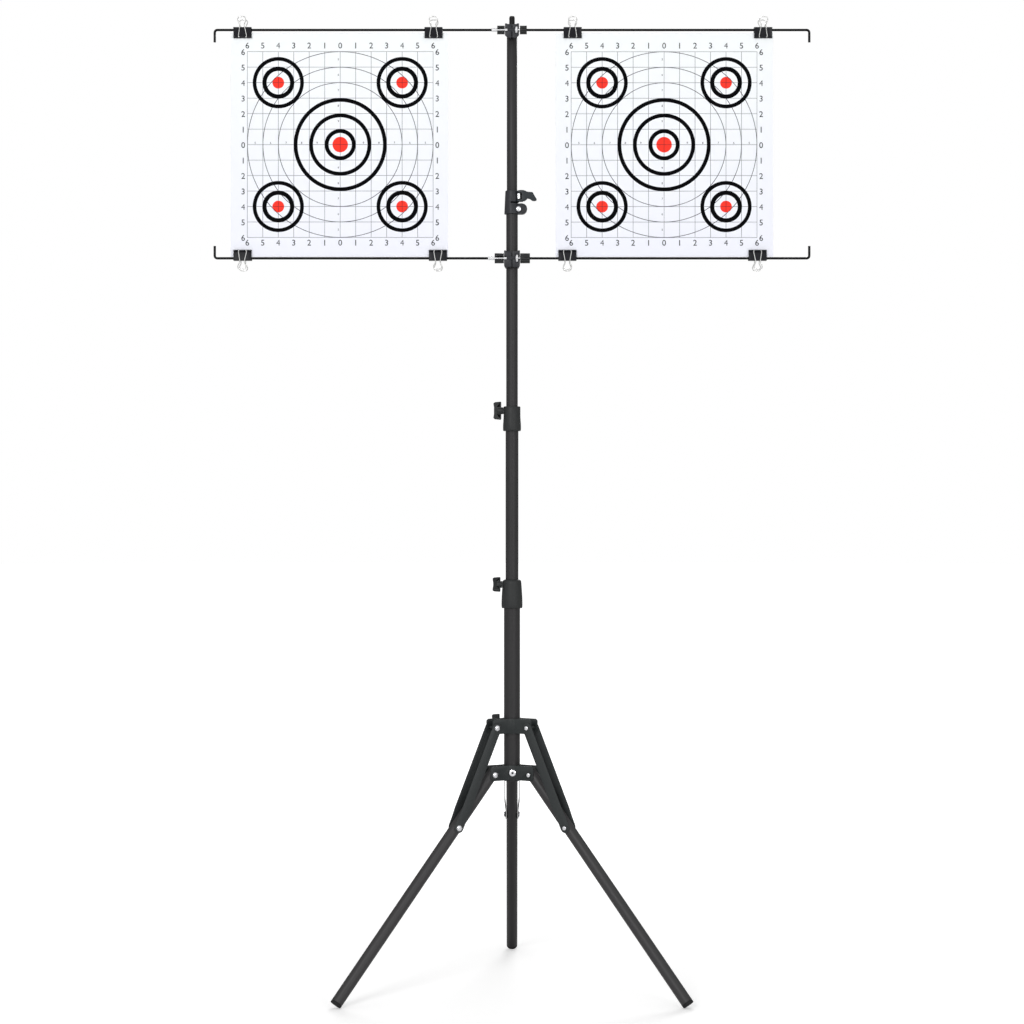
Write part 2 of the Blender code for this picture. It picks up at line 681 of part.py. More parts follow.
upper_lug_centre = (13.0 * MM, 0.0, LEVER_PIN_UP)
fuse(lever_clamp, box("lever_clamp_upper_lug", (10.0 * MM, 2 * LUG_FRONT, 14.0 * MM), upper_lug_centre))
lower_bore_at = (0.0, 0.0, (slot_low + GAP) / 2 - BEYOND / 2)
cut(lever_clamp, cylinder("lever_lower_bore", UPPER_R + GAP, slot_low + GAP + BEYOND, lower_bore_at))
cut(lever_clamp, cylinder("lever_upper_bore", TOP_R + GAP, 4 * BEYOND))
split = box("lever_clamp_split", (BEYOND, 1.6 * MM, 3 * BEYOND), (BEYOND / 2 + 6.0 * MM, 0.0, 0.0))
cut(lever_clamp, split)
slot_size = (BEYOND, 2 * BEYOND, LEVER_SLOT_HEIGHT)
slot_at = (BEYOND / 2 - 2.3 * MM, 0.0, LEVER_SLOT_UP)
cut(lever_clamp, box("lever_clamp_slot", slot_size, slot_at))
swing_at = (LEVER_PIN_X, LEVER_PIN_Y, LEVER_PIN_UP)
cut(lever_clamp, cylinder("lever_swing", LEVER_HALF_THICK + GAP, 24.0 * MM, swing_at, segments=16))
bolt_length = 2 * LOWER_LUG_FRONT + OVERLAP
head_at = (LEVER_BOLT_X, -LOWER_LUG_FRONT - 1.0 * MM, LEVER_BOLT_UP)
nut_at = (LEVER_BOLT_X, LOWER_LUG_FRONT + 1.4 * MM, LEVER_BOLT_UP)
lug_bolt = cylinder("lug_bolt", 1.8 * MM, bolt_length, (LEVER_BOLT_X, 0.0, LEVER_BOLT_UP), "Y", 10)
lug_head = cylinder("lug_head", 4.6 * MM, 2.8 * MM, head_at, "Y", 14)
lug_nut = cylinder("lug_nut", 4.2 * MM, 3.6 * MM, nut_at, "Y", 6)
for piece in (lug_bolt, lug_head, lug_nut):
    fuse(lever_clamp, piece)
pin_half = LEVER_PIN_HEIGHT / 2
barrel_profile = [
    (0.0, pin_half + 2.4 * MM),
    (1.3 * MM, pin_half + 2.4 * MM),
    (1.3 * MM, pin_half),
    (LEVER_PIN_R, pin_half),
    (LEVER_PIN_R, -pin_half),
    (1.3 * MM, -pin_half),
    (1.3 * MM, -pin_half - 2.4 * MM),
    (0.0, -pin_half - 2.4 * MM),
]
barrel = turned("lever_barrel", barrel_profile, steps=12)
barrel.location = (LEVER_PIN_X, LEVER_PIN_Y, LEVER_PIN_UP)
fuse(lever_clamp, barrel)
pin_rod_length = LUG_FRONT - LEVER_PIN_Y + 1.0 * MM
pin_rod_centre = (LEVER_PIN_X, (LUG_FRONT + LEVER_PIN_Y) / 2, LEVER_PIN_UP)
fuse(lever_clamp, cylinder("lever_tie", 1.5 * MM, pin_rod_length, pin_rod_centre, "Y", 8))
place(lever_clamp, "clamp", stand, (0.0, 0.0, LEVER_CLAMP_LOW))

# Cam lever: a fork round the barrel, with a cranked handle to the right
cam_outline = [
    (-3.7 * MM, 8.6 * MM),
    (2.0 * MM, 10.0 * MM),
    (7.0 * MM, 9.8 * MM),
    (11.0 * MM, 8.6 * MM),
    (12.8 * MM, 7.4 * MM),
    (18.0 * MM, 6.8 * MM),
    (22.5 * MM, 6.4 * MM),
    (25.5 * MM, 1.0 * MM),
    (29.2 * MM, -5.0 * MM),
    (28.6 * MM, -7.0 * MM),
    (25.6 * MM, -7.6 * MM),
    (22.0 * MM, -7.3 * MM),
    (18.6 * MM, -4.6 * MM),
    (14.2 * MM, -3.4 * MM),
    (12.6 * MM, -5.4 * MM),
    (9.6 * MM, -7.6 * MM),
    (4.0 * MM, -8.4 * MM),
    (-3.7 * MM, -8.4 * MM),
]
cam_lever = plate("cam_lever", [cam_outline], 2 * LEVER_HALF_THICK, plane="XZ")
rounding_r = 12.0 * MM
rounding_profile = tube_profile(rounding_r, rounding_r - LEVER_HALF_THICK, -BEYOND, BEYOND)
rounding = turned("cam_lever_rounding", rounding_profile, steps=16)
half_cut = box("cam_lever_rounding_half", (24.0 * MM, 26.0 * MM, 3 * BEYOND), (12.0 * MM, 0.0, 0.0))
cut(rounding, half_cut)
cut(cam_lever, rounding)
pocket_height = LEVER_PIN_HEIGHT + 2 * GAP
cut(cam_lever, box("cam_lever_fork", (13.0 * MM, 12.0 * MM, pocket_height), (-1.6 * MM, 0.0, 0.0)))
cut(cam_lever, cylinder("cam_lever_pin_hole", 1.3 * MM + GAP, 24.0 * MM, segments=10))
place(cam_lever, "plastic", stand, (LEVER_PIN_X, LEVER_PIN_Y, LEVER_PIN_Z))


def ribbed_outline(radius, depth, ribs):
    """A round outline with flat-topped ribs."""
    points = []
    for index in range(ribs):
        for share, reach in ((0.0, radius), (0.45, radius), (0.6, radius - depth), (0.85, radius - depth)):
            angle = 2 * math.pi * (index + share) / ribs
            points.append((reach * math.cos(angle), reach * math.sin(angle)))
    return points


def rod_holder(name, tube_r, half_width, below, above, rod_z, washer, nut, knob, sleeve_left):
    """A split clamp with its hollow bolt, slotted nut and ribbed knob.

    washer, nut and knob are (from, to, radius), measured along X from the column's axis.
    """
    frame = empty(f"{name}_axis", (0.0, ROD_Y, rod_z), stand)
    body_height = above + below
    bore_r = tube_r + GAP
    slit_half = CLAMP_SLIT / 2
    slit_turn = math.degrees(math.asin(slit_half / bore_r))
    plan = [(slit_half, -CLAMP_FRONT), (half_width, -CLAMP_FRONT)]
    plan += arc((0.0, 0.0), half_width, 0, 180, 12)
    plan += [(-half_width, -CLAMP_FRONT), (-slit_half, -CLAMP_FRONT)]
    plan += arc((0.0, 0.0), bore_r, 270 - slit_turn, slit_turn - 90, 22)
    clamp = plate(f"{name}_clamp", [plan], body_height, plane="XY", offset=(above - below) / 2)
    front = mirrored(
        [
            (0.0, 2.4 * MM - below),
            (1.6 * MM, -below - OVERLAP),
            (half_width - 3.0 * MM, -below - OVERLAP),
            (half_width + OVERLAP, 5.4 * MM - below),
            (half_width + OVERLAP, above - 1.8 * MM),
            (half_width - 1.6 * MM, above + OVERLAP),
            (half_width - 4.2 * MM, above - 1.4 * MM),
            (1.6 * MM, above - 1.4 * MM),
            (0.0, above - 3.2 * MM),
        ]
    )
    boolean(clamp, plate(f"{name}_clamp_front", [front], 4 * BEYOND, plane="XZ"), "INTERSECT")
    bolt_hole = cylinder(f"{name}_clamp_hole", SLEEVE_R + GAP, 3 * BEYOND, (0.0, ROD_Y, 0.0), "X", 14)
    cut(clamp, bolt_hole)
    washer_width = washer[1] - washer[0] + 2 * GAP
    pocket_at = ((washer[0] + washer[1]) / 2, ROD_Y, 0.0)
    cut(clamp, cylinder(f"{name}_clamp_pocket", washer[2] + GAP, washer_width, pocket_at, "X", 16))
    notch_from = nut[1] + 4.6 * MM
    notch_size = (BEYOND, BEYOND, 2 * (SLEEVE_R + GAP))
    notch_at = (notch_from - BEYOND / 2, ROD_Y - BEYOND / 2, 0.0)
    cut(clamp, box(f"{name}_clamp_notch", notch_size, notch_at))
    place(clamp, "clamp", stand, (0.0, 0.0, rod_z))

    bore = ROD_R + GAP
    sleeve = [
        (SLEEVE_R, knob[1] - 2.0 * MM),
        (SLEEVE_R, washer[1]),
        (washer[2], washer[1]),
        (washer[2], washer[0]),
        (SLEEVE_R, washer[0]),
        (SLEEVE_R, -sleeve_left + 0.4 * MM),
        (SLEEVE_R - 0.3 * MM, -sleeve_left),
        (bore, -sleeve_left),
        (bore, knob[1] - 2.0 * MM),
    ]
    place(turned(f"{name}_hollow_bolt", sleeve, steps=14, axis="X"), "silver", frame)

    nut_profile = tube_profile(nut[2], nut[2] - SLEEVE_R - GAP, nut[0], nut[1])
    slotted = turned(f"{name}_nut", nut_profile, steps=20, axis="X")
    slot_size = (2 * BEYOND, BEYOND, 2 * (SLEEVE_R + GAP))
    cut(slotted, box(f"{name}_nut_slot", slot_size, (0.0, -BEYOND / 2, 0.0)))
    place(slotted, "plastic", frame)

    hole = arc((0.0, 0.0), SLEEVE_R + GAP, 0, 330, 11)
    outlines = [ribbed_outline(knob[2], 0.7 * MM, 12), hole]
    ribbed = plate(f"{name}_knob", outlines, knob[1] - knob[0], plane="YZ", offset=(knob[0] + knob[1]) / 2)
    place(ribbed, "plastic", frame)
    return frame


def half_rod(name, side, hook, frame):
    """A wire from inside the hollow bolt out to its hooked end. hook is 1 up or -1 down."""
    points = [(side * 1.0 * MM, 0.0, 0.0)]
    for across, along in arc((ROD_REACH - ROD_BEND, ROD_BEND), ROD_BEND, -90, 0, 5):
        points.append((side * across, 0.0, hook * along))
    points.append((side * ROD_REACH, 0.0, hook * ROD_HOOK))
    place(wire(name, points, ROD_R), "wire", frame)


top_frame = rod_holder(
    "top",
    TOP_R,
    11.5 * MM,
    12.8 * MM,
    10.7 * MM,
    TOP_ROD_Z,
    washer=(5.4 * MM, 9.1 * MM, 6.6 * MM),
    nut=(-24.2 * MM, -12.0 * MM, 7.0 * MM),
    knob=(12.9 * MM, 24.2 * MM, 6.95 * MM),
    sleeve_left=33.3 * MM,
)
lower_frame = rod_holder(
    "lower",
    UPPER_R,
    13.0 * MM,
    14.3 * MM,
    12.7 * MM,
    LOWER_ROD_Z,
    washer=(6.4 * MM, 10.1 * MM, 7.3 * MM),
    nut=(-28.3 * MM, -13.4 * MM, 8.3 * MM),
    knob=(13.4 * MM, 29.3 * MM, 8.2 * MM),
    sleeve_left=39.3 * MM,
)
half_rod("top_left_rod", -1, -1, top_frame)
half_rod("top_right_rod", 1, -1, top_frame)
half_rod("lower_left_rod", -1, 1, lower_frame)
half_rod("lower_right_rod", 1, 1, lower_frame)

# Targets: each sheet fills the rods but for its two margins, and comes out 355.6 mm wide, or 14 inches
PAPER_SPANS = {}
for side_name, side_sign in (("left", -1), ("right", 1)):
    outer = side_sign * (ROD_REACH - PAPER_FROM_ROD_END[side_name])
    inner = side_sign * PAPER_FROM_COLUMN[side_name]
    PAPER_SPANS[side_name] = (min(outer, inner), max(outer, inner))
    paper_x = (outer + inner) / 2
    sheet = box(f"{side_name}_paper", (abs(outer - inner), PAPER_THICK, PAPER_HIGH - PAPER_LOW))
    place(sheet, "paper", stand, (paper_x, ROD_Y, (PAPER_LOW + PAPER_HIGH) / 2))

CLIP_ROLL_END = CLIP_WIDTH / 2 - 0.2 * MM
JAW_INSIDE = PAPER_THICK / 2 + GAP
JAW_OUTSIDE = JAW_INSIDE + CLIP_SHEET
ROLL_Z = -CLIP_JAW_DOWN + CLIP_ROLL_R + 0.2 * MM
FACE_RISE = CLIP_JAW_DOWN + CLIP_SPINE_UP - CLIP_CORNER_DOWN
HANDLE_TILT = math.atan2(CLIP_SPINE_HALF - JAW_OUTSIDE, FACE_RISE)
FACE_AT_ROLL = JAW_OUTSIDE + (ROLL_Z + CLIP_JAW_DOWN) * math.tan(HANDLE_TILT)
ROLL_Y = FACE_AT_ROLL + (CLIP_WIRE_R + GAP) / math.cos(HANDLE_TILT)


def clip_mesh():
    """A folded spring-steel clip: a spine, two sloping faces and rolled jaws, slotted for the wires."""
    half = [
        (JAW_INSIDE, -CLIP_JAW_DOWN),
        (JAW_OUTSIDE, -CLIP_JAW_DOWN),
        (CLIP_SPINE_HALF, CLIP_SPINE_UP - CLIP_CORNER_DOWN),
        (CLIP_SPINE_HALF - 0.6 * MM, CLIP_SPINE_UP),
    ]
    inner_corner = CLIP_SPINE_HALF - CLIP_SHEET
    inner_height = CLIP_SPINE_UP - CLIP_SHEET
    outline = mirrored(half) + [(-inner_corner, inner_height), (inner_corner, inner_height)]
    body = plate("clip_master", [outline], CLIP_WIDTH, plane="YZ")
    PARTS.objects.link(body)
    for side in (-1, 1):
        for slot, (low, high) in enumerate(
            (
                (-CLIP_ROLL_END, -CLIP_WIRE_HALF - CLIP_WIRE_SLOT / 2),
                (-CLIP_WIRE_HALF + CLIP_WIRE_SLOT / 2, CLIP_WIRE_HALF - CLIP_WIRE_SLOT / 2),
                (CLIP_WIRE_HALF + CLIP_WIRE_SLOT / 2, CLIP_ROLL_END),
            )
        ):
            at = ((low + high) / 2, side * ROLL_Y, ROLL_Z)
            fuse(body, cylinder(f"clip_roll_{side + 1}_{slot}", CLIP_ROLL_R, high - low, at, "X", 6))
    graph = bpy.context.evaluated_depsgraph_get()
    graph.update()
    data = bpy.data.meshes.new_from_object(body.evaluated_get(graph))
    data.name = "clip"
    for helper in list(body.children) + [body]:
        bpy.data.objects.remove(helper, do_unlink=True)
    return data


def handle_curve():
    """The clip's wire handle, flat in its own XZ plane, its feet on the hinge axis."""
    half = [
        (CLIP_WIRE_HALF - 1.0 * MM, 0.0),
        (CLIP_WIRE_HALF, 0.0),
        (CLIP_WIRE_HALF, 1.6 * MM),
        (3.7 * MM, 18.0 * MM),
        (6.5 * MM, 26.0 * MM),
        (6.2 * MM, CLIP_HANDLE_LENGTH - 3.5 * MM),
        (3.2 * MM, CLIP_HANDLE_LENGTH - CLIP_WIRE_R),
    ]
    points = [(across, 0.0, along) for across, along in mirrored(half)]
    return wire("handle", points, CLIP_WIRE_R, resolution=1).data


CLIP_MESH = clip_mesh()
HANDLE_CURVE = handle_curve()
for (side_name, level), insets in CLIP_INSETS.items():
    rod_z = TOP_ROD_Z if level == "top" else LOWER_ROD_Z
    flip = 0.0 if level == "top" else math.pi
    sheet_left, sheet_right = PAPER_SPANS[side_name]
    centres = (sheet_left + insets[0], sheet_right - insets[1])
    for number, clip_x in enumerate(centres, start=1):
        clip_name = f"{side_name}_{level}_clip_{number}"
        frame = empty(f"{clip_name}_frame", (clip_x, ROD_Y, rod_z), stand, (flip, 0.0, 0.0))
        place(bpy.data.objects.new(clip_name, CLIP_MESH), "clip", frame)
        for face, front_sign in (("front", -1), ("back", 1)):
            along_y = front_sign if level == "top" else -front_sign
            handle = bpy.data.objects.new(f"{clip_name}_{face}_handle", HANDLE_CURVE)
            hinge_at = (0.0, along_y * ROLL_Y, ROLL_Z)
            place(handle, "silver", frame, hinge_at, (-along_y * HANDLE_TILT, 0.0, 0.0))

# Round faces shaded smooth, with their edges kept sharp
bpy.context.view_layer.update()
for obj in PARTS.objects:
    if obj.type == "MESH" and not obj.modifiers:
        obj.data.shade_smooth()
        obj.data.set_sharp_from_angle(angle=math.radians(35))
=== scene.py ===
# %% [markdown]
# # A target stand with two paper targets
#
# A folding tripod carries a column of four tubes that slide in each other. Two pairs of wire rods
# cross the column, and binder clips hold a printed sheet between the rods on each side. The packed
# CAD model is loaded first. It gives the places of all the pieces, and which of them move together.

import json
import math

import bpy
from mathutils import Matrix, Vector


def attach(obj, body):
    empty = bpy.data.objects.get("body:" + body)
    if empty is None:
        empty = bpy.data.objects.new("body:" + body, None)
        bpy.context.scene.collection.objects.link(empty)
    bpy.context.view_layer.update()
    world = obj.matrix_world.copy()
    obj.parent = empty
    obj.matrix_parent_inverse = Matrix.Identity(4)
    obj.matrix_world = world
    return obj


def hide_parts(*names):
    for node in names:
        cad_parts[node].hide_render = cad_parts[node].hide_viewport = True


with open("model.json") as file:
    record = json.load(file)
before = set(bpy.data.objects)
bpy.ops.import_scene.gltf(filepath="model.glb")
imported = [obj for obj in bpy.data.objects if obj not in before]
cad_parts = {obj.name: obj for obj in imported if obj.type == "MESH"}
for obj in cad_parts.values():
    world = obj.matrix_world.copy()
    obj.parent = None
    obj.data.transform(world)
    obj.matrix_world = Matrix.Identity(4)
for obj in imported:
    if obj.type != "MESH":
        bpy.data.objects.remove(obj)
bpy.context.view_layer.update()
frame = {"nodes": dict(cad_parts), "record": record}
record_bodies = frame["record"]["behaviour"]["bodies"]
bodies_of = {node: body for body, nodes in record_bodies.items() for node in nodes}

MM = 0.001
COLUMN_Y = -79.219 * MM
ROD_Y = COLUMN_Y - 16.0 * MM
TOP_ROD_Z = 1566.3 * MM
LOWER_ROD_Z = 1193.3 * MM

# %% [markdown]
# ## Camera, floor and light
#
# The photograph is a straight front view with a long lens, so the camera stands level in front of
# the column. The floor and the surroundings only look white to the camera and in reflections. The
# light on the stand itself comes from a large soft lamp in front and a weak even surround, which
# leaves the sides of the black tubes darker than their middles.

# %% Camera
SENSOR_WIDTH = 36.0
PHOTO_PIXELS = 1024.0
FOCAL_PIXELS = 2218.0
CAMERA_DISTANCE = 3.640
CAMERA_HEIGHT = 0.7788
camera_data = bpy.data.cameras.new("camera")
camera_data.sensor_width = SENSOR_WIDTH
camera_data.lens = SENSOR_WIDTH * FOCAL_PIXELS / PHOTO_PIXELS
camera_data.clip_end = 200.0
camera = bpy.data.objects.new("camera", camera_data)
camera.location = (0.0, COLUMN_Y - CAMERA_DISTANCE, CAMERA_HEIGHT)
camera.rotation_euler = (math.radians(90.0), 0.0, 0.0)
bpy.context.scene.collection.objects.link(camera)
bpy.context.scene.camera = camera
bpy.context.scene.view_settings.view_transform = "Standard"
print("camera lens:", round(camera_data.lens, 2), "mm")


# %% [markdown]
# ## A short way to write shaders
#
# A finish is a small piece of arithmetic on patterns. `Number` lets that arithmetic be written as
# plain expressions, and each operation adds the Math node that does it. `Shader` adds any other node
# to a node tree, and `Finish` is the shader of one material, with its surface.

# %% Shader helpers
class Number:
    """A value on its way through a shader. Arithmetic on it adds Math nodes."""

    def __init__(self, finish, socket):
        self.finish = finish
        self.socket = socket

    def maths(self, operation, first, second=0.0):
        return self.finish.add("ShaderNodeMath", {"operation": operation}, {0: first, 1: second})

    def __add__(self, other):
        return self.maths("ADD", self, other)

    def __radd__(self, other):
        return self.maths("ADD", other, self)

    def __sub__(self, other):
        return self.maths("SUBTRACT", self, other)

    def __rsub__(self, other):
        return self.maths("SUBTRACT", other, self)

    def __mul__(self, other):
        return self.maths("MULTIPLY", self, other)

    def __rmul__(self, other):
        return self.maths("MULTIPLY", other, self)

    def __truediv__(self, other):
        return self.maths("DIVIDE", self, other)

    def __pow__(self, other):
        return self.maths("POWER", self, other)

    def __abs__(self):
        return self.maths("ABSOLUTE", self)

    def __lt__(self, other):
        return self.maths("LESS_THAN", self, other)

    def __gt__(self, other):
        return self.maths("GREATER_THAN", self, other)

    def larger(self, other):
        return self.maths("MAXIMUM", self, other)

    def clamped(self):
        return self.maths("MINIMUM", self.larger(0.0), 1.0)


class Shader:
    """A node tree, starting empty, with short ways to add to it."""

    def __init__(self, tree):
        self.nodes = tree.nodes
        self.links = tree.links
        self.nodes.clear()

    def feed(self, socket, value):
        if isinstance(value, Number):
            self.links.new(value.socket, socket)
        else:
            socket.default_value = value

    def add(self, kind, settings=None, inputs=None, output=0):
        node = self.nodes.new(kind)
        for key, value in (settings or {}).items():
            setattr(node, key, value)
        for key, value in (inputs or {}).items():
            self.feed(node.inputs[key], value)
        return Number(self, node.outputs[output])

    def axes(self, vector):
        """The three coordinates of a vector."""
        node = self.nodes.new("ShaderNodeSeparateXYZ")
        self.links.new(vector.socket, node.inputs[0])
        return [Number(self, socket) for socket in node.outputs]


class Finish(Shader):
    """One material: its surface shader, and the nodes that feed it."""

    def __init__(self, name):
        self.material = bpy.data.materials.new(name)
        self.material.use_nodes = True
        super().__init__(self.material.node_tree)
        self.surface = self.nodes.new("ShaderNodeBsdfPrincipled")
        output = self.nodes.new("ShaderNodeOutputMaterial")
        self.links.new(self.surface.outputs[0], output.inputs["Surface"])
        self.place = self.add("ShaderNodeTexCoord", output="Object")

    def set(self, **values):
        for key, value in values.items():
            self.feed(self.surface.inputs[key.replace("_", " ")], value)

    def grain(self, size, detail=2.0, roughness=0.5, place=None):
        """Soft noise from 0 to 1, with features of about that size in metres."""
        values = {
            "Vector": place or self.place,
            "Scale": 1.0 / size,
            "Detail": detail,
            "Roughness": roughness,
        }
        return self.add("ShaderNodeTexNoise", {"noise_dimensions": "3D"}, values)

    def between(self, share, first, second):
        """A colour between two colours."""
        values = {0: share, 6: first, 7: second}
        return self.add("ShaderNodeMix", {"data_type": "RGBA"}, values, output=2)

    def relief(self, height, depth, strength=1.0):
        values = {"Height": height, "Distance": depth, "Strength": strength}
        self.set(Normal=self.add("ShaderNodeBump", None, values))


def colour(red, green, blue):
    """A colour given as it shows on screen, from 0 to 255, in the shader's own scale."""
    shares = [part / 255.0 for part in (red, green, blue)]
    linear = []
    for share in shares:
        linear.append(share / 12.92 if share <= 0.04045 else ((share + 0.055) / 1.055) ** 2.4)
    return (*linear, 1.0)


# %% Floor, surround and lamps
def studio():
    """White for the camera, bright in front for reflections, and even and weak for the rest."""
    world = bpy.data.worlds.new("studio")
    world.use_nodes = True
    sky = Shader(world.node_tree)
    seen = sky.add("ShaderNodeLightPath", output="Is Camera Ray")
    mirrored = sky.add("ShaderNodeLightPath", output="Is Glossy Ray")
    _, back, up = sky.axes(sky.add("ShaderNodeTexCoord", output="Generated"))
    front = ((0.35 - back) / 0.7).clamped()
    reflection = mirrored * (0.30 + front * 0.62)
    surround = (1.0 - seen.larger(mirrored)) * (0.42 + up * 0.10)
    light = sky.nodes.new("ShaderNodeBackground")
    light.inputs["Color"].default_value = (1.0, 1.0, 1.0, 1.0)
    sky.feed(light.inputs["Strength"], seen + reflection + surround)
    output = sky.nodes.new("ShaderNodeOutputWorld")
    sky.links.new(light.outputs[0], output.inputs["Surface"])
    bpy.context.scene.world = world


def lamp(name, place, aim_at, size, watts):
    data = bpy.data.lights.new(name, "AREA")
    data.shape = "DISK"
    data.size = size
    data.energy = watts
    obj = bpy.data.objects.new(name, data)
    obj.location = place
    obj.rotation_euler = (Vector(aim_at) - Vector(place)).to_track_quat("-Z", "Y").to_euler()
    bpy.context.scene.collection.objects.link(obj)


studio()
lamp("key", (-1.6, -4.6, 2.6), (0.0, 0.0, 0.8), 1.6, 92.0)
lamp("fill", (2.4, -4.4, 1.2), (0.0, 0.0, 0.8), 1.8, 42.0)
lamp("back", (0.6, 3.2, 2.8), (0.0, 0.0, 0.9), 1.6, 50.0)

FLOOR_RADIUS = 30.0
FLOOR_Z = -0.0004
bpy.ops.object.select_all(action="DESELECT")
bpy.ops.mesh.primitive_circle_add(
    vertices=96, radius=FLOOR_RADIUS, fill_type="NGON", location=(0.0, 0.0, FLOOR_Z)
)
floor = bpy.context.object
floor.name = "floor"
floor_finish = Finish("floor_white")
floor_finish.set(Base_Color=(0.88, 0.88, 0.88, 1.0), Roughness=0.9)
camera_ray = floor_finish.add("ShaderNodeLightPath", output="Is Camera Ray")
floor_x, floor_y, _ = floor_finish.axes(floor_finish.place)
far = (((floor_x * floor_x + floor_y * floor_y) ** 0.5 - 0.5) / 2.2).clamped()
share = camera_ray * (0.30 + far * 0.40)
glow = floor_finish.between(share, (0.0, 0.0, 0.0, 1.0), (1.0, 1.0, 1.0, 1.0))
floor_finish.set(Emission_Color=glow, Emission_Strength=1.0)
floor.data.materials.append(floor_finish.material)
print("floor, surround and three lamps are set")

# %% [markdown]
# ## Finishes
#
# The tubes are powder coated: a hard satin coat with the fine pitting that such a coat always has.
# In the photograph the struts and the two front legs look a little lighter than the column and
# the rear leg a little darker, so the struts and front legs have lighter copies of their coats as
# painted light, and the rear leg a darker copy as painted shade.
# The pressed brackets have the same coat on thinner steel, a little greener in the photograph. The
# collars, knobs and clamps are moulded plastic with a matt grain. The wire and the clips are glossy,
# and the bolts, sleeves and clip handles are bright metal.

# %% Coated and moulded finishes
def coated(name, light, dark, roughness, pit_size, pit_depth, specular=0.25, coat=0.0, hollow=None):
    """A dark finish with soft clouding and fine pits. hollow gives the share of painted shade in its
    grooves.
    """
    finish = Finish(name)
    cloud = finish.grain(45.0 * MM, 3.0)
    pits = finish.grain(pit_size, 2.0, 0.6)
    fine = finish.grain(pit_size * 0.45, 1.0)
    base = finish.between(cloud * 0.7 + pits * 0.3, dark, light)
    if hollow:
        # Painted shade: the grooves go towards near black.
        base = finish.between(hollow(finish) * 0.85, base, colour(10, 10, 11))
    finish.set(Base_Color=base)
    finish.set(Roughness=roughness + (cloud - 0.5) * 0.14 + (pits - 0.5) * 0.16)
    finish.set(Specular_IOR_Level=specular, Coat_Weight=coat, Coat_Roughness=0.25)
    finish.relief(pits * 0.7 + fine * 0.3, pit_depth, 0.5)
    return finish.material


def between_ribs(rod_z, radius, start, end):
    """Painted shade in the grooves of a ribbed knob: below its outer radius, not on its two flat ends."""

    def share(finish):
        x, y, z = finish.axes(finish.place)
        along = y - ROD_Y
        up = z - rod_z
        reach = (along * along + up * up) ** 0.5
        return (reach < radius - 0.3 * MM) * (abs(x - (start + end) / 2) < (end - start) / 2 - 0.2 * MM)

    return share


TUBE_BLACK = coated("tube_powder_coat", colour(48, 47, 48), colour(38, 37, 38), 0.46, 0.9 * MM, 0.10 * MM)
# Front legs: the tube coat lightened as painted light. Rear leg: darkened as painted shade.
FRONT_LEG_BLACK_PAINTED_LIGHT = coated("front_leg_coat_painted_light", colour(60, 59, 60), colour(50, 49, 50), 0.46, 0.9 * MM, 0.10 * MM)
REAR_LEG_BLACK_PAINTED_SHADE = coated("rear_leg_coat_painted_shade", colour(41, 40, 41), colour(31, 30, 31), 0.50, 0.9 * MM, 0.10 * MM)
BRACKET_BLACK = coated("bracket_coat", colour(42, 46, 46), colour(32, 36, 37), 0.44, 1.1 * MM, 0.10 * MM)
# Struts: the bracket coat lightened as painted light, to lift the shade between their plates.
STRUT_BLACK_PAINTED_LIGHT = coated("strut_coat_painted_light", colour(55, 58, 58), colour(44, 47, 48), 0.46, 1.1 * MM, 0.10 * MM)
PLASTIC_BLACK = coated("moulded_plastic", colour(45, 47, 47), colour(36, 37, 38), 0.52, 0.6 * MM, 0.07 * MM)
CLAMP_BLACK = coated("clamp_plastic", colour(48, 49, 53), colour(37, 38, 42), 0.46, 0.5 * MM, 0.06 * MM)
LEVER_BLACK = coated("lever_plastic", colour(42, 48, 52), colour(32, 36, 41), 0.40, 0.5 * MM, 0.05 * MM)
FOOT_BLACK = coated("foot_rubber", colour(34, 34, 35), colour(22, 22, 23), 0.72, 0.7 * MM, 0.12 * MM)
WIRE_BLACK = coated("wire_coat", colour(12, 12, 14), colour(6, 6, 7), 0.34, 1.4 * MM, 0.03 * MM, 0.12)
CLIP_BLACK = coated(
    "clip_lacquer", colour(20, 21, 28), colour(9, 9, 14), 0.33, 1.2 * MM, 0.03 * MM, 0.20, 0.08
)
# Painted shade: a near black finish for a ring that darkens the lever clamp's slot.
SLOT_PAINTED_SHADE = coated("slot_shade", colour(10, 10, 11), colour(5, 5, 6), 0.80, 1.0 * MM, 0.03 * MM, 0.05)
KNOB_ENDS = {"top": (12.9 * MM, 24.2 * MM, 6.95 * MM), "lower": (13.4 * MM, 29.3 * MM, 8.2 * MM)}
# Each knob's plastic has painted shade in its grooves.
KNOB_BLACK_GROOVE_SHADED = {}
for level, (start, end, radius) in KNOB_ENDS.items():
    grooves = between_ribs(TOP_ROD_Z if level == "top" else LOWER_ROD_Z, radius, start, end)
    tones = (colour(50, 52, 52), colour(38, 39, 40))
    KNOB_BLACK_GROOVE_SHADED[level] = coated(f"{level}_knob_plastic_groove_shade", *tones, 0.44, 0.6 * MM, 0.07 * MM, hollow=grooves)
print("dark finishes:", 12 + len(KNOB_BLACK_GROOVE_SHADED))


# %% Bright metal
def bright(name, light, dark, roughness, streak=(1.0, 1.0, 1.0)):
    """Polished or plated metal with faint drawing marks along one direction."""
    finish = Finish(name)
    stretch = finish.add("ShaderNodeMapping", None, {"Vector": finish.place, "Scale": streak})
    marks = finish.grain(0.6 * MM, 3.0, 0.6, stretch)
    stain = finish.grain(9.0 * MM, 2.0)
    finish.set(Base_Color=finish.between(stain, dark, light), Metallic=1.0)
    finish.set(Roughness=roughness + marks * 0.12 + (stain - 0.5) * 0.08)
    finish.relief(marks, 0.02 * MM, 0.4)
    return finish.material


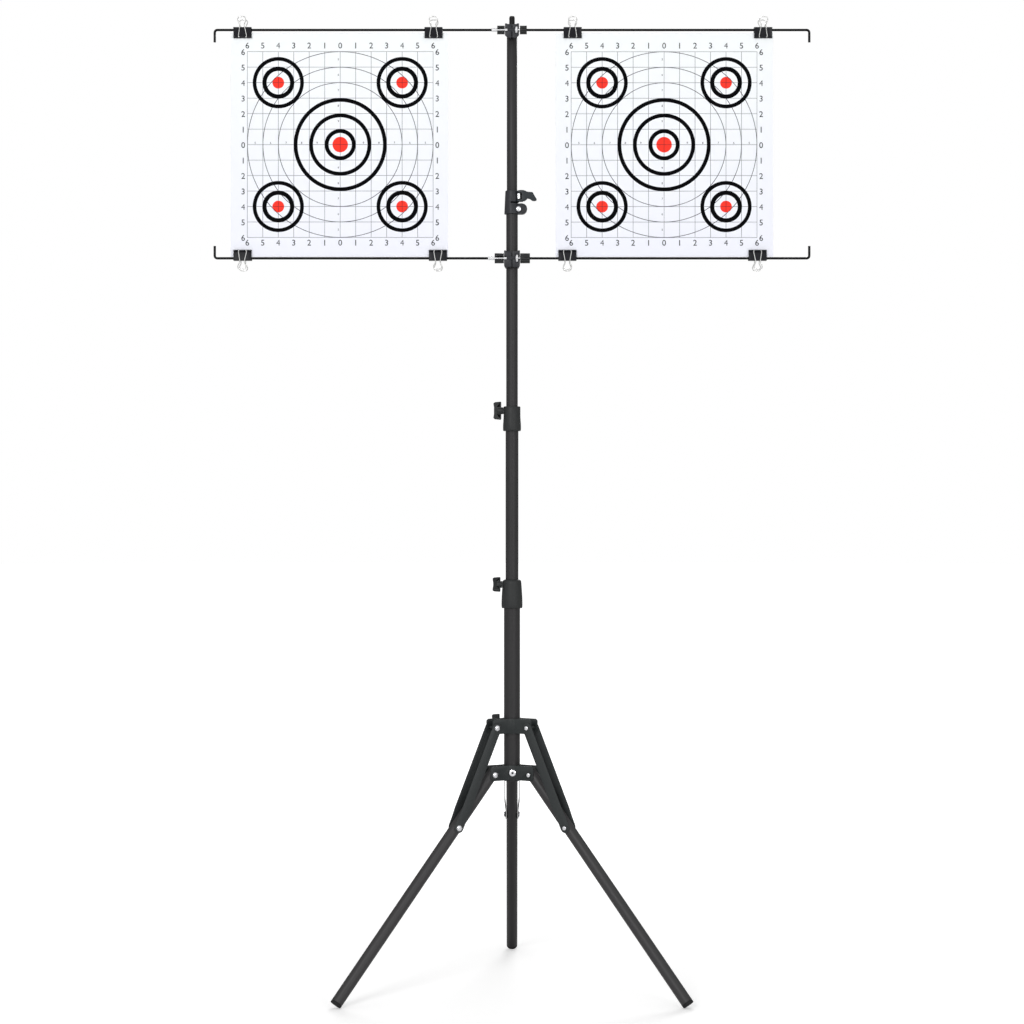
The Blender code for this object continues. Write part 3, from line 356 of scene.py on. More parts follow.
SILVER = bright("plated_steel", (0.90, 0.90, 0.92, 1.0), (0.74, 0.75, 0.78, 1.0), 0.16)
ALONG_THE_BOLT = (0.1, 1.0, 1.0)
SLEEVE_SILVER = bright(
    "drawn_steel_sleeve", (0.94, 0.94, 0.95, 1.0), (0.80, 0.81, 0.83, 1.0), 0.14, ALONG_THE_BOLT
)
HANDLE_SILVER = bright("nickel_wire", (0.80, 0.80, 0.79, 1.0), (0.62, 0.62, 0.61, 1.0), 0.22)
print("bright finishes: 3")

# %% Each CAD node gets the finish of its material slot, where the table has one
SLOT_FINISH = {
    "tube_black": TUBE_BLACK,
    "bracket_black": BRACKET_BLACK,
    "plastic_black": PLASTIC_BLACK,
    "clamp_black": CLAMP_BLACK,
    "foot_rubber": FOOT_BLACK,
    "wire_black": WIRE_BLACK,
    "silver": SILVER,
    "clip_black": CLIP_BLACK,
}
slot_of = {part["node"]: part["material_slot"] for part in frame["record"]["subparts"]}
for node, obj in frame["nodes"].items():
    finish = SLOT_FINISH.get(slot_of[node])
    if finish:
        obj.data.materials.clear()
        obj.data.materials.append(finish)
print("nodes dressed:", len(frame["nodes"]))

# %% [markdown]
# ## Turned pieces
#
# Tubes, caps, collars and sleeves are all round. Each starts as one ring of points, which is
# extruded and scaled along the piece's profile, as a lathe follows a drawing. The frame's own tubes
# have few sides, and these have enough for a smooth outline. A finished piece takes the place of
# its CAD node and rides on the same body.

# %% Lathe
def finished(piece, finish, node, angle=35.0, hides=True):
    """Gives a piece its finish and the CAD node's body, and the node's place too if it hides it."""
    bpy.ops.object.mode_set(mode="OBJECT")
    piece.data.materials.clear()
    piece.data.materials.append(finish)
    bpy.ops.object.select_all(action="DESELECT")
    piece.select_set(True)
    bpy.context.view_layer.objects.active = piece
    bpy.ops.object.transform_apply(location=True, rotation=True, scale=True)
    bpy.ops.object.shade_smooth_by_angle(angle=math.radians(angle))
    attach(piece, bodies_of[node])
    if hides:
        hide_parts(node)
    return piece


def select_points(piece, wanted):
    """Selects the points that a test picks, in edit mode, and nothing else."""
    bpy.ops.object.mode_set(mode="EDIT")
    bpy.ops.mesh.select_mode(type="VERT")
    bpy.ops.mesh.select_all(action="DESELECT")
    bpy.ops.object.mode_set(mode="OBJECT")
    for vert in piece.data.vertices:
        vert.select = wanted(vert)
    bpy.ops.object.mode_set(mode="EDIT")


def lathe(name, profile, at=Matrix(), sides=72, ends="capped"):
    """A round piece from a profile of (radius, height). Its ends are capped, open or joined."""
    bpy.ops.object.select_all(action="DESELECT")
    radius, height = profile[0]
    bpy.ops.mesh.primitive_circle_add(
        vertices=sides, radius=radius, fill_type="NOTHING", location=(0.0, 0.0, height)
    )
    piece = bpy.context.object
    piece.name = piece.data.name = name
    bpy.ops.object.mode_set(mode="EDIT")
    bpy.ops.mesh.select_mode(type="VERT")
    bpy.ops.mesh.select_all(action="SELECT")
    for next_radius, next_height in profile[1:]:
        share = next_radius / radius
        rise = next_height - height
        bpy.ops.mesh.extrude_region_move(TRANSFORM_OT_translate={"value": (0.0, 0.0, rise)})
        bpy.ops.transform.resize(value=(share, share, 1.0), center_override=(0.0, 0.0, next_height))
        radius, height = next_radius, next_height
    if ends == "capped":
        bpy.ops.mesh.edge_face_add()
        select_points(piece, lambda vert: vert.index < sides)
        bpy.ops.mesh.edge_face_add()
    elif ends == "joined":
        last = sides * (len(profile) - 1)
        select_points(piece, lambda vert: vert.index < sides or vert.index >= last)
        bpy.ops.mesh.bridge_edge_loops()
    bpy.ops.mesh.select_all(action="SELECT")
    bpy.ops.mesh.normals_make_consistent(inside=False)
    bpy.ops.object.mode_set(mode="OBJECT")
    bpy.ops.object.transform_apply(location=True, rotation=True, scale=True)
    piece.data.transform(at)
    return piece


def pipe(radius, wall, low, high, rim=0.25 * MM):
    """The profile of a tube with eased rims."""
    inner = radius - wall
    return [
        (inner, low + rim),
        (inner + rim, low),
        (radius - rim, low),
        (radius, low + rim),
        (radius, high - rim),
        (radius - rim, high),
        (inner + rim, high),
        (inner, high - rim),
    ]


COLUMN = Matrix.Translation((0.0, COLUMN_Y, 0.0))

# %% Column tubes
for node, radius, wall, low, high in (
    ("main_tube", 13.2 * MM, 1.4 * MM, 338.2 * MM, 645.0 * MM),
    ("middle_tube", 10.5 * MM, 0.7 * MM, 578.0 * MM, 932.0 * MM),
    ("upper_tube", 9.5 * MM, 0.7 * MM, 860.0 * MM, 1284.0 * MM),
):
    tube = lathe(f"{node}_drawn", pipe(radius, wall, low, high), COLUMN, ends="joined")
    finished(tube, TUBE_BLACK, node)

STUD_LOW = 1578.0 * MM
STUD_HIGH = 1592.0 * MM
THREAD_STEP = 1.27 * MM
THREAD_ROOT = 4.1 * MM
THREAD_CREST = 4.7 * MM
top_profile = [
    (7.5 * MM, 1190.0 * MM),
    (8.2 * MM, 1190.0 * MM),
    (8.5 * MM, 1190.4 * MM),
    (8.5 * MM, STUD_LOW - 0.6 * MM),
    (8.0 * MM, STUD_LOW),
    (THREAD_CREST, STUD_LOW),
    (THREAD_ROOT, STUD_LOW + 0.5 * MM),
]
turns = int((STUD_HIGH - STUD_LOW - 1.6 * MM) / THREAD_STEP)
for turn in range(turns):
    foot = STUD_LOW + 0.8 * MM + turn * THREAD_STEP
    top_profile += [(THREAD_ROOT, foot), (THREAD_CREST, foot + 0.4 * THREAD_STEP)]
    top_profile += [(THREAD_CREST, foot + 0.6 * THREAD_STEP), (THREAD_ROOT, foot + 0.98 * THREAD_STEP)]
top_profile += [(THREAD_ROOT, STUD_HIGH - 0.4 * MM), (THREAD_ROOT - 0.4 * MM, STUD_HIGH)]
finished(lathe("top_tube_drawn", top_profile, COLUMN), TUBE_BLACK, "top_tube", 40.0)
print("column tubes: 4, thread turns on the stud:", turns)

# %% [markdown]
# ## Legs and feet
#
# Each leg is a tube on a bolt through the lower hub. A leg is turned upright on its own axis, from
# its pivot down, and then put at its place with the same turns that the CAD model uses: round the
# column to its side, then out from the vertical. Its rubber cap is cut flat where it meets the
# ground, with one bisect.

# %% Legs and foot caps
LEG_ANGLE = math.radians(39.25)
LEG_LENGTH = 446.0 * MM
PIVOT_Z = 350.39 * MM
PIVOT_OUT = 38.0 * MM
ARMS = {"left": 210.0, "right": 330.0, "rear": 90.0}


def arm(azimuth):
    """The frame of one leg's side: its X axis points out from the column."""
    return COLUMN @ Matrix.Rotation(math.radians(azimuth), 4, "Z")


for side, azimuth in ARMS.items():
    leg_at = arm(azimuth) @ Matrix.Translation((PIVOT_OUT, 0.0, PIVOT_Z))
    leg_at = leg_at @ Matrix.Rotation(-LEG_ANGLE, 4, "Y")
    leg = lathe(f"leg_{side}_drawn", pipe(9.5 * MM, 1.2 * MM, -441.2 * MM, 8.0 * MM), leg_at, 56, "joined")
    # Painted light on the front legs' coat, painted shade on the rear leg's coat.
    finished(leg, REAR_LEG_BLACK_PAINTED_SHADE if side == "rear" else FRONT_LEG_BLACK_PAINTED_LIGHT, f"leg_{side}")
    cap_profile = [
        (7.6 * MM, -427.5 * MM),
        (8.0 * MM, -428.2 * MM),
        (8.0 * MM, -441.5 * MM),
        (9.2 * MM, -441.5 * MM),
        (9.5 * MM, -441.8 * MM),
        (9.5 * MM, -445.0 * MM),
        (9.1 * MM, -445.7 * MM),
        (8.3 * MM, -446.0 * MM),
    ]
    cap = lathe(f"foot_cap_{side}_drawn", cap_profile, leg_at, 56)
    bpy.ops.object.mode_set(mode="EDIT")
    bpy.ops.mesh.select_all(action="SELECT")
    bpy.ops.mesh.bisect(plane_no=(0.0, 0.0, 1.0), use_fill=True, clear_inner=True, threshold=1e-6)
    finished(cap, FOOT_BLACK, f"foot_cap_{side}")
print("legs:", len(ARMS))

# %% [markdown]
# ## Collars
#
# A collar is a plastic sleeve that steps from one tube to the next. Outside it swells towards its
# foot and ends in a rounded lip. Inside it has two bores, so that the sleeve sits on the thick tube
# and guides the thin one.

# %% Collars
LOWER_SCREW_Z = 660.0 * MM
UPPER_SCREW_Z = 945.0 * MM
lower_collar_profile = [
    (10.8 * MM, 668.0 * MM),
    (12.2 * MM, 668.0 * MM),
    (13.4 * MM, 667.5 * MM),
    (14.4 * MM, 666.6 * MM),
    (15.2 * MM, 664.6 * MM),
    (15.5 * MM, 661.8 * MM),
    (15.9 * MM, 656.0 * MM),
    (16.4 * MM, 649.0 * MM),
    (16.9 * MM, 641.0 * MM),
    (17.2 * MM, 633.5 * MM),
    (17.3 * MM, 628.0 * MM),
    (17.2 * MM, 624.0 * MM),
    (16.9 * MM, 622.2 * MM),
    (16.4 * MM, 621.3 * MM),
    (13.6 * MM, 621.3 * MM),
    (13.5 * MM, 621.5 * MM),
    (13.5 * MM, 645.3 * MM),
    (10.8 * MM, 645.3 * MM),
]
lower_collar = lathe("lower_collar_moulded", lower_collar_profile, COLUMN, 80, "joined")
finished(lower_collar, PLASTIC_BLACK, "lower_collar")
upper_collar_profile = [
    (9.8 * MM, 952.0 * MM),
    (12.4 * MM, 952.0 * MM),
    (13.3 * MM, 951.7 * MM),
    (13.8 * MM, 950.9 * MM),
    (13.8 * MM, 936.0 * MM),
    (13.95 * MM, 932.5 * MM),
    (14.35 * MM, 927.0 * MM),
    (14.65 * MM, 922.5 * MM),
    (14.75 * MM, 919.5 * MM),
    (14.75 * MM, 914.2 * MM),
    (14.5 * MM, 912.6 * MM),
    (13.9 * MM, 911.7 * MM),
    (10.9 * MM, 911.7 * MM),
    (10.8 * MM, 911.9 * MM),
    (10.8 * MM, 932.3 * MM),
    (9.8 * MM, 932.3 * MM),
]
upper_collar = lathe("upper_collar_moulded", upper_collar_profile, COLUMN, 80, "joined")
finished(upper_collar, PLASTIC_BLACK, "upper_collar")

for name, collar, up, start, end in (
    ("lower_collar_boss", "lower_collar", LOWER_SCREW_Z, 14.6 * MM, 16.3 * MM),
    ("upper_collar_boss", "upper_collar", UPPER_SCREW_Z, 12.2 * MM, 14.0 * MM),
):
    boss_at = COLUMN @ Matrix.Translation((0.0, 0.0, up)) @ Matrix.Rotation(math.radians(-90.0), 4, "Y")
    boss = lathe(name, pipe(5.5 * MM, 2.5 * MM, start, end), boss_at, 40, "joined")
    finished(boss, PLASTIC_BLACK, collar, hides=False)
print("collars: 2, each with a boss for its knob")

# %% [markdown]
# ## Pieces that keep the frame's shape
#
# The pressed hubs and struts, the clamps and the knobs already have their real form in the frame,
# but their edges are sharp, and real edges catch the light. A copy of the node is welded, its flat
# faces are joined, and a narrow bevel rounds each edge. The wings of the knobs are moulded with a
# raised rim, so the two broad faces of each are inset and pushed in. The top clamp narrows towards its
# foot in the photograph, so its two lower corners are cut off along a slope, and its ears are low.
# The foot of the lever clamp is cut off level.

# %% Eased copies of CAD nodes
def eased(node, name, finish, width, segments=2, angle=30.0, rim=None, cuts=()):
    source = frame["nodes"][node]
    piece = bpy.data.objects.new(name, source.data.copy())
    bpy.context.scene.collection.objects.link(piece)
    bpy.ops.object.select_all(action="DESELECT")
    piece.select_set(True)
    bpy.context.view_layer.objects.active = piece
    bpy.ops.mesh.customdata_custom_splitnormals_clear()
    bpy.ops.object.mode_set(mode="EDIT")
    bpy.ops.mesh.select_all(action="SELECT")
    bpy.ops.mesh.mark_sharp(clear=True)
    bpy.ops.mesh.remove_doubles(threshold=0.005 * MM)
    bpy.ops.mesh.dissolve_limited(angle_limit=math.radians(1.0))
    if rim:
        bpy.ops.mesh.select_mode(type="FACE")
        bpy.ops.mesh.select_all(action="DESELECT")
        bpy.ops.object.mode_set(mode="OBJECT")
        broad = sorted(piece.data.polygons, key=lambda face: face.area)[-2:]
        for face in broad:
            face.select = True
        bpy.ops.object.mode_set(mode="EDIT")
        bpy.ops.mesh.inset(thickness=rim, depth=-0.5 * MM, use_individual=True)
    for at, way in cuts:
        bpy.ops.mesh.select_all(action="SELECT")
        bpy.ops.mesh.bisect(plane_co=at, plane_no=way, use_fill=True, clear_outer=True, threshold=1e-6)
    bpy.ops.object.mode_set(mode="OBJECT")
    bevel = piece.modifiers.new("edges", "BEVEL")
    bevel.width = width
    bevel.segments = segments
    bevel.limit_method = "ANGLE"
    bevel.angle_limit = math.radians(angle)
    bevel.use_clamp_overlap = True
    bpy.ops.object.modifier_apply(modifier=bevel.name)
    return finished(piece, finish, node)


eased("lower_hub", "lower_hub_pressed", BRACKET_BLACK, 0.3 * MM)
eased("upper_hub", "upper_hub_pressed", BRACKET_BLACK, 0.3 * MM)
for side in ARMS:
    # The struts take the bracket coat lightened with painted light.
    eased(f"strut_{side}", f"strut_{side}_pressed", STRUT_BLACK_PAINTED_LIGHT, 0.2 * MM)
for node in ("lower_collar_knob", "upper_collar_knob", "hub_knob"):
    eased(node, f"{node}_moulded", PLASTIC_BLACK, 0.2 * MM, rim=1.4 * MM)
EAR_HEIGHT = 10.2 * MM
CORNER_OUT = 11.4 * MM
CORNER_DOWN = 7.6 * MM
LEVER_LOW = 1264.0 * MM
LEVER_CUT = 3.5 * MM
top_clamp_cuts = [((0.0, ROD_Y, TOP_ROD_Z + EAR_HEIGHT), (0.0, 0.0, 1.0))]
for sign in (-1, 1):
    corner = (sign * CORNER_OUT, ROD_Y, TOP_ROD_Z - CORNER_DOWN)
    top_clamp_cuts.append((corner, (sign * 3.3, 0.6, -2.8)))
lever_clamp_cuts = [((0.0, COLUMN_Y, LEVER_LOW + LEVER_CUT), (0.0, 0.0, -1.0))]
for node, cuts in (("top_clamp", top_clamp_cuts), ("lower_clamp", ()), ("lever_clamp", lever_clamp_cuts)):
    eased(node, f"{node}_moulded", CLAMP_BLACK, 0.25 * MM, cuts=cuts)
for level in ("top", "lower"):
    eased(f"{level}_nut", f"{level}_nut_moulded", PLASTIC_BLACK, 0.2 * MM)
    eased(f"{level}_knob", f"{level}_knob_moulded", KNOB_BLACK_GROOVE_SHADED[level], 0.2 * MM)
eased("cam_lever", "cam_lever_moulded", LEVER_BLACK, 0.6 * MM, 3)
print("eased copies: 16")

# %% Barrel of the clamp over the hollow bolt, and a black ring of painted shade in the lever clamp's slot
for level, rod_z, start, end in (("top", TOP_ROD_Z, -7.6, 5.0), ("lower", LOWER_ROD_Z, -9.0, 6.0)):
    barrel_at = Matrix.Translation((0.0, ROD_Y, rod_z)) @ Matrix.Rotation(math.radians(90.0), 4, "Y")
    barrel_profile = pipe(3.9 * MM, 0.9 * MM, start * MM, end * MM)
    barrel = lathe(f"{level}_clamp_barrel", barrel_profile, barrel_at, 40, "joined")
    finished(barrel, CLAMP_BLACK, f"{level}_clamp", hides=False)
# A thin black ring in the slot of the lever clamp, as painted shade.
shade_profile = pipe(9.6 * MM, 0.75 * MM, 1284.35 * MM, 1286.9 * MM)
shade = lathe("lever_clamp_slot_shade", shade_profile, COLUMN, 48, "joined")
finished(shade, SLOT_PAINTED_SHADE, "lever_clamp", hides=False)
print("clamp barrels: 2")

# %% [markdown]
# ## Bolts and rivets
#
# Every arm of the tripod has three bolts across it. On one side each ends in a broad domed head, and
# on the other in a small riveted end on a black washer. The domes are turned, one profile for all,
# and sit on the heads of the CAD model, whose black flanks show round them.

# %% Bright heads and ends
def dome(name, radius, height, at, node, finish=SILVER):
    """A low dome whose foot lies in the plane that at gives, its top along that frame's Z axis."""
    profile = [
        (radius * 0.94, 0.0),
        (radius, height * 0.12),
        (radius, height * 0.42),
        (radius * 0.94, height * 0.62),
        (radius * 0.78, height * 0.82),
        (radius * 0.52, height * 0.95),
        (radius * 0.20, height),
    ]
    return finished(lathe(name, profile, at, 32), finish, node, 50.0, hides=False)


def across(frame_matrix, out, side, foot, down=0.0):
    """The frame of a bolt end: side is 1 or -1 along the arm's own Y axis, foot is its distance."""
    turn = Matrix.Rotation(math.radians(-90.0 * side), 4, "X")
    return frame_matrix @ Matrix.Translation((out, side * foot, down)) @ turn


STRUT_ANGLE = math.radians(23.821)
STRUT_OUT = 35.0 * MM
STRUT_Z = 426.679 * MM
STRUT_LENGTH = 172.7 * MM
HEAD_SIDE = {"left": 1, "right": 1, "rear": -1}
heads = 0
for side, azimuth in ARMS.items():
    here = arm(azimuth)
    strut_frame = here @ Matrix.Translation((STRUT_OUT, 0.0, STRUT_Z))
    strut_frame = strut_frame @ Matrix.Rotation(-STRUT_ANGLE, 4, "Y")
    places = [
        (f"hub_bolt_{side}", "lower_hub", here, PIVOT_OUT, PIVOT_Z, 10.9 * MM),
        (f"strut_bolt_{side}", f"strut_{side}", strut_frame, 0.0, 0.0, 12.4 * MM),
        (f"leg_bolt_{side}", f"strut_{side}", strut_frame, 0.0, -STRUT_LENGTH, 10.7 * MM),
    ]
    for name, node, frame_matrix, out, up, foot in places:
        big = HEAD_SIDE[side]
        dome(f"{name}_head", 5.0 * MM, 3.1 * MM, across(frame_matrix, out, big, foot, up), node)
        dome(f"{name}_end", 3.3 * MM, 0.9 * MM, across(frame_matrix, out, -big, foot + 2.35 * MM, up), node)
        heads += 2

ring_screw_profile = [
    (5.2 * MM, 0.0),
    (5.6 * MM, 0.3 * MM),
    (5.6 * MM, 1.4 * MM),
    (5.2 * MM, 2.1 * MM),
    (4.3 * MM, 2.5 * MM),
    (2.1 * MM, 2.6 * MM),
    (1.8 * MM, 2.4 * MM),
    (1.7 * MM, 1.0 * MM),
]
ring_screw_at = COLUMN @ Matrix.Translation((0.8 * MM, -16.2 * MM, 352.4 * MM))
ring_screw_at = ring_screw_at @ Matrix.Rotation(math.radians(90.0), 4, "X")
ring_screw = lathe("hub_ring_screw", ring_screw_profile, ring_screw_at, 48)
finished(ring_screw, SILVER, "lower_hub", 30.0, hides=False)
# Painted shade: a black hexagon on the floor of the screw's recess stands for its dark socket.
socket_shade_profile = [(1.68 * MM, 1.02 * MM), (1.6 * MM, 1.2 * MM), (0.4 * MM, 1.22 * MM)]
socket = lathe("hub_ring_screw_socket_shade", socket_shade_profile, ring_screw_at, 6)
finished(socket, BRACKET_BLACK, "lower_hub", 30.0, hides=False)

LUG_FRONT = 7.4 * MM
LUG_BOLT_UP = 10.8 * MM
LEVER_PIN_UP = 31.4 * MM
lug_head_profile = [
    (4.2 * MM, 0.1 * MM),
    (4.2 * MM, 3.4 * MM),
    (3.9 * MM, 4.0 * MM),
    (3.0 * MM, 4.5 * MM),
    (1.6 * MM, 4.8 * MM),
    (0.4 * MM, 4.9 * MM),
]
for name, out, front, turn in (
    ("lug_bolt_head", 10.7 * MM, -LUG_FRONT, 90.0),
    ("lug_bolt_nut", 11.8 * MM, LUG_FRONT, -90.0),
):
    lug_at = COLUMN @ Matrix.Translation((out, front, LEVER_LOW + LUG_BOLT_UP))
    lug_at = lug_at @ Matrix.Rotation(math.radians(turn), 4, "X")
    finished(lathe(name, lug_head_profile, lug_at, 40), SILVER, "lever_clamp", 30.0, hides=False)
pin_profile = [
    (2.7 * MM, -4.4 * MM),
    (3.15 * MM, -4.0 * MM),
    (3.15 * MM, 4.0 * MM),
    (2.7 * MM, 4.4 * MM),
]
pin_at = COLUMN @ Matrix.Translation((11.2 * MM, -10.4 * MM, LEVER_LOW + LEVER_PIN_UP))
finished(lathe("lever_pin", pin_profile, pin_at, 40), SILVER, "lever_clamp", 30.0, hides=False)
print("bolt heads and ends:", heads + 4)

# %% [markdown]
# ## Wire rods
#
# The rods are 4 mm wire with one end bent into a hook. A curve with a round cross-section is the
# natural way to make wire: its corner is a short arc of points, and the curve is made a mesh at the
# end so that it carries the coat's pattern like any other piece.

# %% Wire
def arc(centre, radius, start, end, steps):
    found = []
    for index in range(steps + 1):
        angle = math.radians(start + (end - start) * index / steps)
        found.append((centre[0] + radius * math.cos(angle), centre[1] + radius * math.sin(angle)))
    return found


def wire(name, points, radius, resolution=5):
    """A round wire through a list of points, as a mesh."""
    curve = bpy.data.curves.new(name, "CURVE")
    curve.dimensions = "3D"
    curve.bevel_depth = radius
    curve.bevel_resolution = resolution
    curve.use_fill_caps = True
    spline = curve.splines.new("POLY")
    spline.points.add(len(points) - 1)
    for point, at in zip(spline.points, points):
        point.co = (*at, 1.0)
    obj = bpy.data.objects.new(name, curve)
    bpy.context.scene.collection.objects.link(obj)
    bpy.ops.object.select_all(action="DESELECT")
    obj.select_set(True)
    bpy.context.view_layer.objects.active = obj
    bpy.ops.object.convert(target="MESH")
    piece = bpy.context.object
    bpy.ops.object.mode_set(mode="EDIT")
    bpy.ops.mesh.select_all(action="SELECT")
    bpy.ops.mesh.remove_doubles(threshold=0.001 * MM)
    bpy.ops.mesh.normals_make_consistent(inside=False)
    bpy.ops.object.mode_set(mode="OBJECT")
    return piece


ROD_RADIUS = 2.0 * MM
ROD_REACH = 485.7 * MM
ROD_HOOK = 20.0 * MM
ROD_BEND = 4.4 * MM
for level, rod_z, hook in (("top", TOP_ROD_Z, -1), ("lower", LOWER_ROD_Z, 1)):
    for side, sign in (("left", -1), ("right", 1)):
        points = [(sign * 1.0 * MM, ROD_Y, rod_z)]
        for out, up in arc((ROD_REACH - ROD_BEND, ROD_BEND), ROD_BEND, -90, 0, 12):
            points.append((sign * out, ROD_Y, rod_z + hook * up))
        points.append((sign * ROD_REACH, ROD_Y, rod_z + hook * ROD_HOOK))
        rod = wire(f"{level}_{side}_rod_bent", points, ROD_RADIUS, 6)
        finished(rod, WIRE_BLACK, f"{level}_{side}_rod", 40.0)
print("rods: 4")

# %% [markdown]
# ## Hollow bolts
#
# A rod runs through a bright hollow bolt, which draws the clamp together. Its washer stands in a
# slot of the clamp, where the photograph shows it as a bright upright lens, and its long left end
# sticks out through the slotted nut. It is turned about the rod's own axis.

# %% Hollow bolts
def hollow_bolt(level, rod_z, right_end, washer_from, washer_to, washer_radius, left_end):
    at = Matrix.Translation((0.0, ROD_Y, rod_z)) @ Matrix.Rotation(math.radians(90.0), 4, "Y")
    profile = [
        (2.3 * MM, right_end),
        (2.9 * MM, right_end),
        (2.9 * MM, washer_to),
        (washer_radius - 0.5 * MM, washer_to),
        (washer_radius, washer_to - 0.5 * MM),
        (washer_radius, washer_from + 0.5 * MM),
        (washer_radius - 0.5 * MM, washer_from),
        (2.9 * MM, washer_from),
        (2.9 * MM, left_end + 0.5 * MM),
        (2.6 * MM, left_end),
        (2.3 * MM, left_end),
    ]
    bolt = lathe(f"{level}_hollow_bolt_turned", profile, at, 48, "joined")
    return finished(bolt, SLEEVE_SILVER, f"{level}_hollow_bolt", 30.0)


hollow_bolt("top", TOP_ROD_Z, 22.2 * MM, 5.4 * MM, 9.1 * MM, 6.6 * MM, -33.3 * MM)
hollow_bolt("lower", LOWER_ROD_Z, 27.3 * MM, 6.4 * MM, 10.1 * MM, 7.3 * MM, -39.3 * MM)
print("hollow bolts: 2")

# %% [markdown]
# ## Binder clips
#
# A binder clip is one strip of spring steel, folded to a prism and rolled outwards at its two jaws.
# The rolls are cut away where the wire handles go in. The strip is drawn once as a line seen from
# its end, extruded along its width in steps that match the cuts, and thickened. One handle is bent
# from wire. Both are copied to the eight places, each copy with a mesh of its own.

# %% One clip body
CLIP_PLACES = {
    ("left", "top"): (-440.0 * MM, -128.0 * MM),
    ("left", "bottom"): (-440.0 * MM, -121.0 * MM),
    ("right", "top"): (99.0 * MM, 410.0 * MM),
    ("right", "bottom"): (90.5 * MM, 401.0 * MM),
}
ROLL_Y = 3.053 * MM
ROLL_Z = -12.0 * MM
HANDLE_TILT = math.radians(17.375)
WIRE_HALF = 6.5 * MM
half_strip = arc((ROLL_Y, ROLL_Z), 1.25 * MM, 100, -70, 10)
curl_points = len(half_strip)
half_strip += [(2.0 * MM, -13.48 * MM), (1.45 * MM, -13.5 * MM)]
half_strip += [(1.0 * MM, -13.35 * MM), (0.98 * MM, -12.9 * MM), (1.1 * MM, -12.3 * MM)]
half_strip += [(5.98 * MM, 2.5 * MM)] + arc((4.9 * MM, 2.45 * MM), 1.12 * MM, 10, 90, 4)
strip = half_strip + [(-y, z) for y, z in reversed(half_strip)]


def ribbon(name, line, stops):
    """A bent strip: its end view is drawn in the YZ plane and extruded along X through the stops."""
    data = bpy.data.meshes.new(name)
    edges = [(index, index + 1) for index in range(len(line) - 1)]
    data.from_pydata([(stops[0], y, z) for y, z in line], edges, [])
    piece = bpy.data.objects.new(name, data)
    bpy.context.scene.collection.objects.link(piece)
    bpy.ops.object.select_all(action="DESELECT")
    piece.select_set(True)
    bpy.context.view_layer.objects.active = piece
    bpy.ops.object.mode_set(mode="EDIT")
    bpy.ops.mesh.select_all(action="SELECT")
    for start, end in zip(stops, stops[1:]):
        bpy.ops.mesh.extrude_region_move(TRANSFORM_OT_translate={"value": (end - start, 0.0, 0.0)})
    bpy.ops.object.mode_set(mode="OBJECT")
    return piece


CLIP_HALF = 14.75 * MM
SLOT_IN = WIRE_HALF - 1.5 * MM
SLOT_OUT = WIRE_HALF + 1.5 * MM
CLIP_SHEET = 0.55 * MM
CLIP_EDGE = 0.12 * MM
clip_stops = [-CLIP_HALF, -SLOT_OUT, -SLOT_IN, SLOT_IN, SLOT_OUT, CLIP_HALF]
clip_master = ribbon("clip_master", strip, clip_stops)
last = len(strip) - 1
bpy.ops.object.mode_set(mode="EDIT")
bpy.ops.mesh.select_mode(type="FACE")
bpy.ops.mesh.select_all(action="DESELECT")
bpy.ops.object.mode_set(mode="OBJECT")
for face in clip_master.data.polygons:
    centre = face.center
    in_slot = SLOT_IN < abs(centre.x) < SLOT_OUT
    on_roll = min(index % len(strip) for index in face.vertices) < curl_points
    on_roll = on_roll or max(index % len(strip) for index in face.vertices) > last - curl_points
    face.select = in_slot and on_roll
bpy.ops.object.mode_set(mode="EDIT")
bpy.ops.mesh.delete(type="FACE")
bpy.ops.object.mode_set(mode="OBJECT")
wall = clip_master.modifiers.new("sheet", "SOLIDIFY")
wall.thickness = CLIP_SHEET
wall.offset = 0.0
bpy.ops.object.modifier_apply(modifier=wall.name)
edge = clip_master.modifiers.new("edges", "BEVEL")
edge.width = CLIP_EDGE
edge.segments = 2
edge.limit_method = "ANGLE"
edge.angle_limit = math.radians(50.0)
bpy.ops.object.modifier_apply(modifier=edge.name)
bpy.ops.object.mode_set(mode="EDIT")
bpy.ops.mesh.select_all(action="SELECT")
bpy.ops.mesh.normals_make_consistent(inside=False)
bpy.ops.object.mode_set(mode="OBJECT")
print("clip strip points:", len(strip), "faces:", len(clip_master.data.polygons))

# %% One wire handle
handle_half = [(5.2 * MM, 0.0), (6.1 * MM, 0.0), (6.4 * MM, 0.15 * MM), (6.5 * MM, 0.5 * MM)]
handle_half += [(6.5 * MM, 1.8 * MM), (6.3 * MM, 3.4 * MM), (4.1 * MM, 16.0 * MM), (3.75 * MM, 18.6 * MM)]
handle_half += [(3.9 * MM, 20.4 * MM), (4.6 * MM, 22.4 * MM), (5.9 * MM, 24.8 * MM), (6.5 * MM, 26.6 * MM)]
handle_half += [(6.6 * MM, 28.2 * MM), (6.3 * MM, 30.0 * MM), (5.4 * MM, 31.5 * MM), (3.9 * MM, 32.4 * MM)]
handle_half += [(2.0 * MM, 32.7 * MM)]
handle_line = handle_half + [(-x, z) for x, z in reversed(handle_half)]
handle_master = wire("handle_master", [(x, 0.0, z) for x, z in handle_line], 0.8 * MM, 3)
print("handle points:", len(handle_line))


# %% Copies at the eight places
def copied(master, name, at):
    piece = bpy.data.objects.new(name, master.data.copy())
    bpy.context.scene.collection.objects.link(piece)
    piece.data.transform(at)
    return piece


